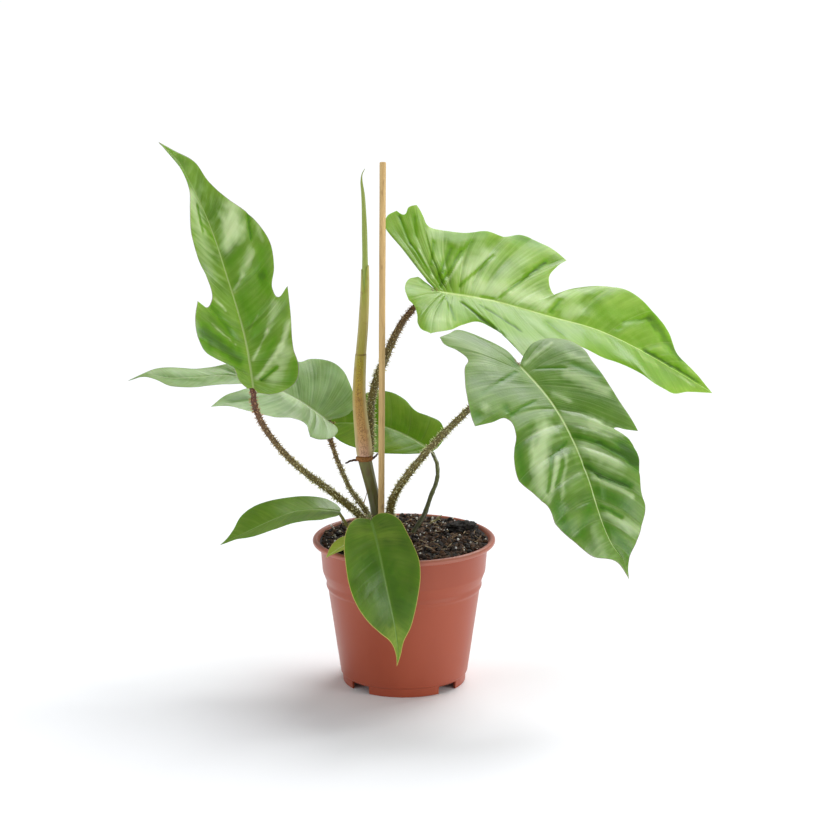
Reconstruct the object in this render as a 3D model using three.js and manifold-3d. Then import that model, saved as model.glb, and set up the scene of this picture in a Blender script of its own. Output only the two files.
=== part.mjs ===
// A young bristly-stalked philodendron in a terracotta-coloured nursery pot, with a round wooden
// stake. Millimetres, +Z up, -Y to the front. The origin is the middle of the pot's base, on the
// surface that the pot stands on.

import * as THREE from "three";
import { mergeVertices } from "three/addons/utils/BufferGeometryUtils.js";
import Module from "manifold-3d";

const wasm = await Module();
wasm.setup();

// ---------------------------------------------------------------- driving dimensions

const GAP = 0.3; // what touching pieces keep between them
const ROUND_SEGMENTS = 48; // sides of every turned shape that is as wide as the pot

// Pot: a tapered nursery pot with a rolled lip, a collar, and four feet under its rim.
const POT_HEIGHT = 138;
const LIP_RADIUS = 85;
const LIP_INNER_RADIUS = 80;
const LIP_HEIGHT = 5;
const COLLAR_TOP_RADIUS = 78;
const COLLAR_BOTTOM_RADIUS = 76;
const COLLAR_BOTTOM = 107;
const SHOULDER_RADIUS = 72;
const SHOULDER_HEIGHT = 96;
const BODY_FOOT_RADIUS = 59.5;
const FOOT_HEIGHT = 9;
const FOOT_RADIUS = 57.5;
const WALL = 1.8;
const FLOOR_THICKNESS = 2.5;
const RAISED_FLOOR = 8; // underside of the drained ring between the middle and the feet
const MIDDLE_RADIUS = 32; // the flat middle of the base, which stands on the table
const NOTCH_WIDTH = 22; // between two feet, seen from below
const DRAIN_RADIUS = 4;
const DRAIN_RING_RADIUS = 45;
const DRAIN_COUNT = 8;

// Potting soil: a low dome whose edge lies under the lip.
const SOIL_EDGE_HEIGHT = 131;
const SOIL_DOME = 2;
const SOIL_BUMP = 0.5;
const SOIL_RINGS = [60, 45, 30, 15, 0]; // radii at which the dome's surface has vertices
const SEAT_CLEARANCE = 0.5; // round what stands in the soil

// Stake, pushed into the soil almost to the floor and leaning a little.
const STAKE_RADIUS = 2.9;
const STAKE_FOOT = new THREE.Vector3(-22, -14, 16);
const STAKE_TOP = new THREE.Vector3(-18.3, -14, 488.5);

// Stem: the old stem in the soil, from which most leaf stalks spring.
const CROWN = new THREE.Vector2(-22, 0);
const CROWN_RADIUS = 9.3;
const CROWN_FOOT = 96;
const CROWN_TOP = 157.5;
const CROWN_PROFILE = [
  [0, CROWN_FOOT],
  [5, CROWN_FOOT],
  [8, 108],
  [CROWN_RADIUS, 124],
  [9.2, 148],
  [8, 154],
  [6, CROWN_TOP - 0.5],
  [0, CROWN_TOP],
];

const BLADE_THICKNESS = 1;
const STALK_SEAT = [-5, 1]; // where a stalk's end lies under the midrib, before and past the joint

// ---------------------------------------------------------------- leaves

// Each leaf lies in a frame of its own. It starts at `joint`, where the stalk meets the blade, its
// midrib runs to `tip`, and its upper side looks towards `face`. `spine` gives how far the midrib
// strays sideways on its way. `arch` lifts its middle, `fold` raises the left and right halves by
// that many degrees, and `twist` turns the blade more and more towards its tip.
// A vein row is [place on the midrib, left margin along and across, right margin along and across].
const LEAVES = {
  upper_left: {
    joint: [-136, -30, 286],
    tip: [-223, 30, 502],
    face: [0.44, -0.8, 0.4],
    arch: 8,
    fold: [18, 16],
    twist: -0.25,
    spine: [[0, 0], [39, 7], [109, 12], [140, 14], [188, 13], [221, 9], [240, 0]],
    veins: [
      [0, 1, -7, -6, 3],
      [2, 10, -14, -11, 14],
      [5, 23, -16, -12, 27],
      [10, 33, -26, -8, 38],
      [16, 42, -41, 3, 44],
      [24, 57, -44, 20, 46],
      [34, 72, -42, 50, 55],
      [45, 87, -33, 77, 62],
      [52, 80, -23, 71, 48],
      [61, 85, -15, 78, 47],
      [76, 107, -11, 97, 56],
      [96, 124, -14, 124, 62],
      [120, 147, -12, 149, 56],
      [146, 170, -2, 171, 41],
      [170, 191, 9, 191, 30],
      [196, 212, 9, 214, 25],
      [222, 230, 3, 229, 11],
    ],
    stalk: [[-42, -3, 160], [-68, -9, 184], [-103, -17, 215], [-127, -24, 248], [-136, -27, 272]],
    stalkFrom: { direction: [-1, -0.1], height: 149 },
    stalkRadius: [4.2, 3.2, 2.8],
  },
  upper_right: {
    joint: [31, 30, 364],
    tip: [298, 115, 250],
    face: [0.38, -0.52, 0.77],
    arch: 14,
    fold: [10, 10],
    twist: 0,
    spine: [[0, 0], [51, -5], [113, -7], [168, -12], [214, -9], [262, -3], [302, 0]],
    veins: [
      [0, -9, -10, -10, -9],
      [0.6, -22, -25, -18, -15],
      [1.2, -36, -42, -25, -11],
      [2, -45, -55, -31, 3],
      [3, -52, -69, -31, 14],
      [4, -50, -80, -28, 21],
      [5, -43, -86, -24, 24],
      [6, -36, -82, -21, 38],
      [7, -33, -90, -22, 52],
      [8.5, -26, -94, -20, 63],
      [10, -19, -87, -14, 69],
      [12, -12, -76, -4, 64],
      [15, 3, -75, 8, 54],
      [19, 24, -76, 22, 39],
      [24, 42, -82, 37, 31],
      [30, 62, -84, 50, 38],
      [37, 82, -95, 64, 54],
      [45, 106, -91, 78, 73],
      [54, 129, -79, 98, 86],
      [62, 118, -66, 103, 68],
      [70, 110, -48, 107, 50],
      [80, 115, -37, 114, 36],
      [98, 142, -55, 135, 27],
      [122, 170, -67, 160, 25],
      [148, 195, -71, 185, 24],
      [176, 228, -62, 205, 29],
      [200, 249, -50, 222, 40],
      [224, 262, -28, 240, 37],
      [256, 280, -14, 268, 19],
    ],
    stalk: [
      [-31, 11.5, 224],
      [-31, 14, 245],
      [-29, 16, 270],
      [-17, 21, 304],
      [-2, 25, 335],
      [14, 29, 354],
    ],
    stalkFrom: { direction: [0.5, 0.87], height: 212 },
    stalkRadius: [3.2, 4.3, 2.6],
  },
  right: {
    joint: [104, -50, 310],
    tip: [198, -135, 137],
    face: [0.45, -0.7, 0.556],
    arch: 14,
    fold: [8, 8],
    twist: 0,
    spine: [[0, 0], [41, -6], [78, -5], [126, 1], [160, 6], [182, 5], [199, -1], [214, 0]],
    veins: [
      [0, -5, -6, -6, 0],
      [0.8, -12, -16, -18, -1],
      [1.6, -17, -27, -32, 5],
      [2.5, -18, -37, -46, 19],
      [3.5, -17, -46, -54, 33],
      [5, -14, -54, -52, 45],
      [6.5, -9, -62, -51, 57],
      [8, -2, -67, -44, 58],
      [10, 6, -70, -32, 49],
      [12, 18, -69, -21, 46],
      [15, 32, -69, -15, 54],
      [19, 48, -69, -5, 62],
      [24, 64, -69, 9, 72],
      [30, 82, -69, 28, 82],
      [38, 97, -69, 44, 88],
      [44, 91, -58, 45, 69],
      [51, 86, -51, 47, 50],
      [60, 101, -59, 62, 53],
      [72, 118, -59, 84, 68],
      [87, 132, -51, 103, 73],
      [103, 147, -44, 119, 66],
      [120, 162, -43, 134, 58],
      [139, 176, -33, 148, 57],
      [158, 187, -21, 164, 46],
      [178, 197, -9, 184, 33],
      [198, 206, -3, 199, 6],
    ],
    stalk: [[-13, -5, 163], [-7, -12, 184], [24, -27, 229], [61, -40, 270], [87, -46, 297]],
    stalkFrom: { direction: [0.96, -0.27], height: 148 },
    stalkRadius: [4.2, 3.4, 2.9],
  },
  far_left: {
    joint: [-73, 60, 235],
    tip: [-258, 40, 278],
    face: [0, -0.6, 0.8],
    arch: 10,
    fold: [18, 10],
    twist: -0.4,
    spine: [[0, 0], [29, 13], [59, 20], [98, 23], [126, 14], [153, 8], [176, 8], [191, 0]],
    veins: [
      [0, -5, -1, -4, 3],
      [0.8, -9, -4, -13, 9],
      [1.6, -11, -9, -21, 17],
      [2.5, -9, -18, -25, 27],
      [4, -5, -25, -21, 39],
      [6, 2, -31, -16, 48],
      [9, 10, -36, -9, 58],
      [12, 17, -38, 2, 65],
      [15, 19, -32, 14, 67],
      [18, 22, -23, 24, 65],
      [23, 34, -23, 34, 58],
      [30, 54, -34, 50, 64],
      [38, 78, -40, 66, 71],
      [46, 98, -43, 80, 74],
      [53, 115, -52, 79, 60],
      [60, 101, -22, 81, 48],
      [68, 88, -5, 92, 42],
      [76, 80, 9, 102, 37],
      [88, 98, 5, 114, 31],
      [102, 118, -4, 130, 26],
      [120, 136, -13, 145, 25],
      [140, 152, -11, 157, 23],
      [158, 166, 0, 168, 19],
      [174, 178, 5, 178, 11],
    ],
    stalk: [[-38, 15, 162], [-50, 26, 176], [-59, 38, 192], [-67, 50, 210], [-71, 59, 224]],
    stalkFrom: { direction: [-0.6, 0.8], height: 147 },
    stalkRadius: [3.2, 2.5, 2.3],
  },
  back: {
    joint: [27, 70, 203],
    tip: [-84, 105, 221],
    face: [0.1, -0.6, 0.8],
    arch: 6,
    fold: [8, 8],
    twist: 0,
    spine: [[0, 0], [25, 7], [49, 11], [92, 6], [118, 0]],
    veins: [
      [0, 3, -3, -3, 5],
      [2, 10, -9, -5, 15],
      [5, 19, -15, -3, 25],
      [9, 29, -20, 3, 33],
      [15, 40, -24, 15, 36],
      [23, 51, -27, 29, 38],
      [34, 63, -28, 46, 48],
      [47, 75, -25, 64, 52],
      [63, 86, -20, 80, 47],
      [82, 98, -12, 94, 32],
      [101, 109, -5, 107, 14],
    ],
    stalk: [[6.8, 9.6, 135], [19, 20, 154], [25, 32, 168], [31, 46, 181], [31, 60, 193]],
    stalkFrom: { point: [5, 8, 119] },
    stalkRadius: [2.8, 2.4, 2],
  },
  lower_left: {
    joint: [-59, -8, 164],
    tip: [-168, -40, 141],
    face: [-0.1, -0.35, 0.93],
    arch: 9,
    fold: [14, 10],
    twist: 0,
    spine: [[0, 0], [16, 5], [38, 8], [61, 4], [88, 0], [116, 0]],
    veins: [
      [0, 0, -3, -2, 4],
      [2, 5, -11, 0, 12],
      [5, 13, -17, 6, 19],
      [10, 23, -21, 17, 24],
      [18, 36, -18, 30, 27],
      [28, 50, -16, 45, 29],
      [42, 65, -17, 61, 29],
      [58, 79, -16, 76, 27],
      [75, 92, -11, 89, 21],
      [92, 102, -4, 100, 10],
      [105, 110, -2, 109, 3],
    ],
    stalk: [[-40, -8, 141], [-51, -8.5, 149]],
    stalkFrom: { direction: [-0.8, -0.6], height: 138 },
    stalkRadius: [2.2, 1.9, 1.7],
  },
  front: {
    joint: [-29, -72, 173],
    tip: [-6, -104, 46],
    face: [0.25, -0.88, 0.4],
    arch: 14,
    fold: [10, 10],
    twist: 0,
    spine: [[0, 0], [59, 0], [104, -2], [121, -2], [133, 0]],
    veins: [
      [0, -3, -3, -2, 3],
      [1.5, -5, -10, -4, 11],
      [4, -3, -18, -1, 20],
      [8, 4, -25, 7, 27],
      [13, 15, -28, 19, 32],
      [20, 28, -31, 33, 34],
      [29, 42, -33, 47, 35],
      [41, 57, -31, 61, 34],
      [55, 71, -27, 75, 30],
      [71, 86, -22, 88, 23],
      [88, 100, -16, 100, 13],
      [106, 112, -8, 110, 4],
      [121, 124, -4, 123, 0],
    ],
    stalk: [[-31, -14, 149], [-33, -26, 158], [-32, -48, 165]],
    stalkFrom: { direction: [-0.45, -0.9], height: 142 },
    stalkRadius: [2.4, 2.1, 1.9],
  },
  small: {
    joint: [-33, -36, 148],
    tip: [-70, -72, 138],
    face: [-0.3, -0.3, 0.9],
    arch: 3,
    fold: [8, 8],
    twist: 0,
    spine: [[0, 0], [53, 0]],
    veins: [
      [0, 1, -4, 0, 4],
      [4, 10, -10, 8, 11],
      [12, 21, -13, 19, 14],
      [24, 33, -10, 31, 12],
      [38, 44, -4, 43, 6],
    ],
    stalk: [[-31, -14, 139], [-32, -25, 143.5]],
    stalkFrom: { direction: [-0.5, -0.87], height: 136 },
    stalkRadius: [1.7, 1.5, 1.3],
  },
};

// Wide leaves take more columns of facets between midrib and margin.
const WIDE_LEAF_COLUMNS = 3;
const NARROW_LEAF_COLUMNS = 2;
const WIDE_LEAVES = ["upper_left", "upper_right", "right", "far_left"];

// ---------------------------------------------------------------- finishes

const finish = (color, roughness) => new THREE.MeshStandardMaterial({ color, roughness, metalness: 0 });
const FINISH = {
  pot: finish(0xa85a45, 0.5),
  soil: finish(0x2a1f1a, 0.95),
  wood: finish(0xc49f6a, 0.7),
  leaf: finish(0x5c8a3c, 0.35),
  youngLeaf: finish(0x86b84f, 0.35),
  palestLeaf: finish(0xa9c23a, 0.4),
  stalk: finish(0x55552f, 0.6),
  stem: finish(0x3f4a2c, 0.5),
  sheath: finish(0xb89a68, 0.6),
  root: finish(0x5a4230, 0.8),
  bark: finish(0x1c1613, 0.95),
};

const plant = new THREE.Group();

function addPiece(name, geometry, material) {
  const piece = new THREE.Mesh(geometry, material);
  piece.name = name;
  plant.add(piece);
  return piece;
}

// ---------------------------------------------------------------- geometry helpers

const vector = (values) => new THREE.Vector3(...values);

// Reads a value between the listed [place, value] pairs, in straight steps.
function between(pairs, place) {
  let k = 1;
  while (k < pairs.length - 1 && pairs[k][0] < place) k += 1;
  const [p0, v0] = pairs[k - 1];
  const [p1, v1] = pairs[k];
  return v0 + ((v1 - v0) * (place - p0)) / (p1 - p0);
}

function indexedGeometry(points, triangles) {
  const geometry = new THREE.BufferGeometry().setFromPoints(points);
  geometry.setIndex(triangles);
  geometry.computeVertexNormals();
  return geometry;
}

// A merged copy of a closed geometry as a solid that can be joined and cut.
function solidOf(geometry) {
  const bare = geometry.clone();
  bare.deleteAttribute("normal");
  bare.deleteAttribute("uv");
  const merged = mergeVertices(bare, 1e-4);
  const corners = merged.index.array;
  const kept = [];
  for (let i = 0; i < corners.length; i += 3) {
    const [a, b, c] = corners.slice(i, i + 3);
    if (a !== b && b !== c && c !== a) kept.push(a, b, c);
  }
  const vertProperties = new Float32Array(merged.attributes.position.array);
  const triVerts = new Uint32Array(kept);
  return new wasm.Manifold(new wasm.Mesh({ numProp: 3, vertProperties, triVerts }));
}

function geometryOf(solid) {
  const mesh = solid.getMesh();
  const geometry = new THREE.BufferGeometry();
  geometry.setAttribute("position", new THREE.BufferAttribute(mesh.vertProperties, 3));
  geometry.setIndex(new THREE.BufferAttribute(mesh.triVerts, 1));
  geometry.computeVertexNormals();
  return geometry;
}

// Turns a [radius, height] profile, bottom first and outside first, about the upright axis.
function turned(profile, segments = ROUND_SEGMENTS) {
  const points = profile.map(([radius, height]) => new THREE.Vector2(radius, height));
  const geometry = new THREE.LatheGeometry(points, segments);
  return geometry.rotateX(Math.PI / 2);
}

// A round rod whose radius changes along a smooth path, with flat ends.
function taperedRod(path, radiusAt, steps, sides) {
  const curve = new THREE.CatmullRomCurve3(path, false, "centripetal");
  const frames = curve.computeFrenetFrames(steps, false);
  const points = [];
  const triangles = [];
  for (let i = 0; i <= steps; i += 1) {
    const centre = curve.getPointAt(i / steps);
    const radius = radiusAt(i / steps);
    for (let j = 0; j < sides; j += 1) {
      const angle = (2 * Math.PI * j) / sides;
      const across = frames.normals[i].clone().multiplyScalar(radius * Math.cos(angle));
      const up = frames.binormals[i].clone().multiplyScalar(radius * Math.sin(angle));
      points.push(centre.clone().add(across).add(up));
    }
  }
  for (let i = 0; i < steps; i += 1) {
    for (let j = 0; j < sides; j += 1) {
      const a = i * sides + j;
      const b = i * sides + ((j + 1) % sides);
      triangles.push(a, b, b + sides, a, b + sides, a + sides);
    }
  }
  const last = steps * sides;
  for (let j = 1; j < sides - 1; j += 1) {
    triangles.push(0, j + 1, j, last, last + j, last + j + 1);
  }
  return indexedGeometry(points, triangles);
}

// ---------------------------------------------------------------- pot and soil

const WALL_OUTSIDE = [
  [FOOT_HEIGHT, BODY_FOOT_RADIUS],
  [SHOULDER_HEIGHT, SHOULDER_RADIUS],
  [COLLAR_BOTTOM, COLLAR_BOTTOM_RADIUS],
  [POT_HEIGHT - LIP_HEIGHT, COLLAR_TOP_RADIUS],
];
const potInnerRadius = (height) => between(WALL_OUTSIDE, height) - WALL;

function makePot() {
  const floorTop = RAISED_FLOOR + FLOOR_THICKNESS;
  const lipBottom = POT_HEIGHT - LIP_HEIGHT;
  const body = turned([
    [0, 0],
    [MIDDLE_RADIUS - 2, 0],
    [MIDDLE_RADIUS + 4, RAISED_FLOOR],
    [FOOT_RADIUS - 2, RAISED_FLOOR],
    [FOOT_RADIUS - 2, 0],
    [FOOT_RADIUS, 0],
    [FOOT_RADIUS + 0.5, FOOT_HEIGHT - 0.5],
    [BODY_FOOT_RADIUS, FOOT_HEIGHT],
    [SHOULDER_RADIUS - 0.7, SHOULDER_HEIGHT - 6],
    [SHOULDER_RADIUS + 0.5, SHOULDER_HEIGHT - 3],
    [SHOULDER_RADIUS, SHOULDER_HEIGHT],
    [COLLAR_BOTTOM_RADIUS, COLLAR_BOTTOM],
    [COLLAR_TOP_RADIUS, lipBottom],
    [LIP_RADIUS - 1, lipBottom],
    [LIP_RADIUS, lipBottom + 1.5],
    [LIP_RADIUS, POT_HEIGHT - 1.5],
    [LIP_RADIUS - 1.5, POT_HEIGHT],
    [LIP_INNER_RADIUS + 1, POT_HEIGHT],
    [LIP_INNER_RADIUS, POT_HEIGHT - 1],
    [COLLAR_TOP_RADIUS - WALL, lipBottom - 2],
    [COLLAR_BOTTOM_RADIUS - WALL, COLLAR_BOTTOM],
    [SHOULDER_RADIUS - WALL, SHOULDER_HEIGHT],
    [potInnerRadius(floorTop), floorTop],
    [MIDDLE_RADIUS + 3, floorTop],
    [MIDDLE_RADIUS - 3, FLOOR_THICKNESS],
    [0, FLOOR_THICKNESS],
  ]);
  let pot = solidOf(body);
  const notchDepth = 12;
  const notchHeight = RAISED_FLOOR - 0.5;
  for (let k = 0; k < 4; k += 1) {
    const notch = new THREE.BoxGeometry(notchDepth, NOTCH_WIDTH, 2 * notchHeight);
    notch.translate(FOOT_RADIUS, 0, 0).rotateZ(Math.PI / 4 + (k * Math.PI) / 2);
    pot = pot.subtract(solidOf(notch));
  }
  for (let k = 0; k < DRAIN_COUNT; k += 1) {
    const hole = new THREE.CylinderGeometry(DRAIN_RADIUS, DRAIN_RADIUS, 4 * FLOOR_THICKNESS, 12);
    hole.rotateX(Math.PI / 2).translate(DRAIN_RING_RADIUS, 0, RAISED_FLOOR);
    hole.rotateZ((2 * Math.PI * k) / DRAIN_COUNT);
    pot = pot.subtract(solidOf(hole));
  }
  addPiece("pot", geometryOf(pot), FINISH.pot);
}

// The soil's top is a low dome with small bumps that die out at its edge and middle.
function soilHeight(x, y) {
  const reach = Math.min(1, Math.hypot(x, y) / potInnerRadius(SOIL_EDGE_HEIGHT));
  const bump = Math.sin(x / 7) * Math.sin(y / 8 + 1) * SOIL_BUMP * (1 - reach);
  return SOIL_EDGE_HEIGHT + SOIL_DOME * (1 - reach * reach) + bump;
}

function makeSoil() {
  const clearance = 0.4;
  const floorTop = RAISED_FLOOR + FLOOR_THICKNESS + clearance;
  const heap = turned([
    [0, floorTop],
    [potInnerRadius(floorTop) - clearance, floorTop],
    [potInnerRadius(SHOULDER_HEIGHT) - clearance, SHOULDER_HEIGHT],
    [potInnerRadius(COLLAR_BOTTOM) - clearance, COLLAR_BOTTOM],
    [potInnerRadius(SOIL_EDGE_HEIGHT) - clearance, SOIL_EDGE_HEIGHT],
    ...SOIL_RINGS.map((radius) => [radius, SOIL_EDGE_HEIGHT + 1]),
  ]);
  const places = heap.attributes.position;
  for (let i = 0; i < places.count; i += 1) {
    if (places.getZ(i) > SOIL_EDGE_HEIGHT) {
      places.setZ(i, soilHeight(places.getX(i), places.getY(i)));
    }
  }
  let soil = solidOf(heap);

  const crownBottom = CROWN_FOOT - SEAT_CLEARANCE;
  const crownWidth = CROWN_RADIUS + SEAT_CLEARANCE;
  const crownHole = turned(
    [
      [0, crownBottom],
      [crownWidth, crownBottom],
      [crownWidth, POT_HEIGHT],
      [0, POT_HEIGHT],
    ],
    20,
  );
  soil = soil.subtract(solidOf(crownHole.translate(CROWN.x, CROWN.y, 0)));

  // A straight hole from just below a foot up to clear air, round whatever stands on that foot.
  const holeFrom = (foot, towards, radius) => {
    const along = towards.clone().sub(foot).normalize();
    const bottom = foot.clone().addScaledVector(along, -SEAT_CLEARANCE);
    const top = foot.clone().addScaledVector(along, POT_HEIGHT);
    return solidOf(taperedRod([bottom, top], () => radius + SEAT_CLEARANCE, 1, 16));
  };
  soil = soil.subtract(holeFrom(STAKE_FOOT, STAKE_TOP, STAKE_RADIUS));
  // The back leaf's stalk bends where it comes out of the soil, so its hole is wider.
  const { stalkFrom, stalk, stalkRadius } = LEAVES.back;
  const widened = stalkRadius[0] + SEAT_CLEARANCE;
  soil = soil.subtract(holeFrom(vector(stalkFrom.point), vector(stalk[0]), widened));
  addPiece("potting_soil", geometryOf(soil), FINISH.soil);
}

// A flat lump of bark lying on the soil near the pot's right side.
function makeBark() {
  const centre = [56, 30];
  const halfSize = new THREE.Vector3(12, 8, 5);
  const ball = new THREE.IcosahedronGeometry(1, 1);
  const lump = mergeVertices(ball.deleteAttribute("normal").deleteAttribute("uv"));
  lump.scale(halfSize.x, halfSize.y, halfSize.z).rotateZ(0.4);
  lump.translate(centre[0], centre[1], soilHeight(...centre) + halfSize.z + GAP);
  addPiece("bark_piece", lump, FINISH.bark);
}

// ---------------------------------------------------------------- stake and stem

function makeStake() {
  addPiece("stake", taperedRod([STAKE_FOOT, STAKE_TOP], () => STAKE_RADIUS, 2, 16), FINISH.wood);
}

// The stem above the crown leans left and ends in the ring from which the newest growth springs.
const RING = new THREE.Vector3(-36.5, 0, 212);
const RING_RADIUS = 7;
const RING_HALF_HEIGHT = 2.5;
const STEM_PATH = [[-24.8, 0, 158], [-27.5, 0, 174], [-31.3, 0, 190], [-35.6, 0, 207.7]].map(vector);
const STEM_RADIUS = [5.2, 5.5, 6.2];

// New growth above the ring: a tan sheath, open at the top, round a leaf that is still rolled up.
const SPEAR_PATH = [
  [-37.2, 0, 215.3],
  [-41, 0, 268],
  [-40, 0, 301],
  [-37, 0, 338],
  [-35.2, 0, 376],
  [-35.6, 0, 436],
  [-38.2, 0, 463],
  [-35.8, 0, 479],
].map(vector);
const SPEAR_FROM = 0.02; // where on that path the rolled leaf begins, inside the sheath
const SHEATH_TO = 0.66; // where the sheath ends
const SHEATH_WALL = 1.1;
const SHEATH_RADIUS = [[0, 6.3], [0.1, 7], [0.2, 6], [0.4, 5.5], [0.5, 4.8], [0.62, 3.8], [1, 2]];

const spearCurve = new THREE.CatmullRomCurve3(SPEAR_PATH, false, "centripetal");

// The part of the spear's path between two fractions of its length.
function spearStretch(from, to, count = 8) {
  const step = (to - from) / (count - 1);
  return Array.from({ length: count }, (_, i) => spearCurve.getPointAt(from + step * i));
}

function makeStem() {
  const crown = turned(CROWN_PROFILE, 20).translate(CROWN.x, CROWN.y, 0);
  addPiece("stem_base", crown, FINISH.stem);

  const stemRadius = (t) => between([[0, STEM_RADIUS[0]], [0.5, STEM_RADIUS[1]], [1, STEM_RADIUS[2]]], t);
  addPiece("stem_internode", taperedRod(STEM_PATH, stemRadius, 8, 12), FINISH.stem);

  const ring = turned(
    [
      [0, -RING_HALF_HEIGHT],
      [RING_RADIUS - 1, -RING_HALF_HEIGHT],
      [RING_RADIUS, 0],
      [RING_RADIUS - 1, RING_HALF_HEIGHT],
      [0, RING_HALF_HEIGHT],
    ],
    16,
  );
  addPiece("node_ring", ring.translate(RING.x, RING.y, RING.z), FINISH.root);

  const outside = taperedRod(
    spearStretch(0, SHEATH_TO),
    (t) => between(SHEATH_RADIUS, t * SHEATH_TO),
    14,
    10,
  );
  const hollow = taperedRod(
    spearStretch(SPEAR_FROM - 0.003, SHEATH_TO + 0.02),
    (t) => between(SHEATH_RADIUS, t * SHEATH_TO) - SHEATH_WALL,
    14,
    10,
  );
  addPiece("cataphyll_sheath", geometryOf(solidOf(outside).subtract(solidOf(hollow))), FINISH.sheath);

  const insideSheath = (t) => between(SHEATH_RADIUS, t) - SHEATH_WALL - 0.45;
  const rolledRadius = (t) => {
    const place = SPEAR_FROM + t * (1 - SPEAR_FROM);
    const free = between([[SHEATH_TO, 2.3], [0.8, 2.1], [0.92, 1.2], [0.96, 0.5], [1, 0.3]], place);
    return place < SHEATH_TO + 0.04 ? Math.min(insideSheath(place), 3.6) : free;
  };
  const roll = taperedRod(spearStretch(SPEAR_FROM, 1, 12), rolledRadius, 22, 10);
  addPiece("rolled_new_leaf", roll, FINISH.youngLeaf);

  const rootRadius = (t) => 0.9 - 0.4 * t;
  const leftRoot = [[-43.9, -1, 211.6], [-49, -1.5, 210.4], [-54, -2, 208.5]].map(vector);
  addPiece("aerial_root_left", taperedRod(leftRoot, rootRadius, 3, 6), FINISH.root);
  const rightRoot = [[-29.1, -1.2, 212.5], [-26.5, -1.6, 215], [-24, -2, 218]].map(vector);
  addPiece("aerial_root_right", taperedRod(rightRoot, rootRadius, 3, 6), FINISH.root);

  const fibre = [[-37.5, -5.8, 171], [-35.2, -6, 178], [-33, -6.3, 187]].map(vector);
  addPiece("dried_fibre", taperedRod(fibre, () => 0.5, 4, 6), FINISH.sheath);
}

// ---------------------------------------------------------------- leaves on their stalks

// The leaf's own directions: along the midrib, across it to the right, and out of its upper side.
function leafFrame(leaf) {
  const joint = vector(leaf.joint);
  const along = vector(leaf.tip).sub(joint);
  const length = along.length();
  along.normalize();
  const face = vector(leaf.face);
  face.addScaledVector(along, -face.dot(along)).normalize();
  const across = new THREE.Vector3().crossVectors(along, face);
  return { joint, along, across, face, length };
}

// How high the blade stands above its flat frame, at a place along and across it.
function bladeHeight(leaf, length, a, b) {
  const t = a / length;
  const fromMidrib = b - between(leaf.spine, a);
  const fold = THREE.MathUtils.degToRad(leaf.fold[fromMidrib < 0 ? 0 : 1]);
  return 4 * leaf.arch * t * (1 - t) + Math.tan(fold) * Math.abs(fromMidrib) + leaf.twist * t * fromMidrib;
}

function makeBlade(name, leaf) {
  const { joint, along, across, face, length } = leafFrame(leaf);
  const place = (a, b, lift) =>
    joint
      .clone()
      .addScaledVector(along, a)
      .addScaledVector(across, b)
      .addScaledVector(face, bladeHeight(leaf, length, a, b) + lift);

  // Rows of places from the left margin over the midrib to the right margin, then the tip.
  const columns = WIDE_LEAVES.includes(name) ? WIDE_LEAF_COLUMNS : NARROW_LEAF_COLUMNS;
  const width = 2 * columns + 1;
  const flat = [];
  for (const [root, leftA, leftB, rightA, rightB] of leaf.veins) {
    const middle = between(leaf.spine, root);
    for (let j = -columns; j <= columns; j += 1) {
      const share = Math.abs(j) / columns;
      const [marginA, marginB] = j < 0 ? [leftA, leftB] : [rightA, rightB];
      flat.push([root + (marginA - root) * share, middle + (marginB - middle) * share]);
    }
  }
  const tip = flat.length;
  flat.push([length, 0]);

  const upper = flat.map(([a, b]) => place(a, b, BLADE_THICKNESS / 2));
  const lower = flat.map(([a, b]) => place(a, b, -BLADE_THICKNESS / 2));
  const under = flat.length;
  const triangles = [];
  const addFacet = (a, b, c) => {
    triangles.push(a, b, c, under + a, under + c, under + b);
  };
  const rows = leaf.veins.length;
  for (let i = 0; i < rows; i += 1) {
    for (let j = 0; j < width - 1; j += 1) {
      const here = i * width + j;
      if (i < rows - 1) {
        addFacet(here, here + 1, here + width + 1);
        addFacet(here, here + width + 1, here + width);
      } else {
        addFacet(here, here + 1, tip);
      }
    }
  }
  // The edge, once round: along the notch, up the right margin to the tip, and back on the left.
  const rightMargin = Array.from({ length: rows }, (_, i) => i * width + width - 1);
  const leftMargin = Array.from({ length: rows }, (_, i) => i * width);
  const notch = Array.from({ length: width - 1 }, (_, j) => j);
  const edge = [...notch, ...rightMargin, tip, ...leftMargin.slice(1).reverse()];
  edge.forEach((a, k) => {
    const b = edge[(k + 1) % edge.length];
    triangles.push(a, under + a, under + b, a, under + b, b);
  });
  const material = { upper_right: FINISH.youngLeaf, small: FINISH.palestLeaf }[name] ?? FINISH.leaf;
  addPiece(`leaf_${name}`, indexedGeometry([...upper, ...lower], triangles), material);
}

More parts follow.
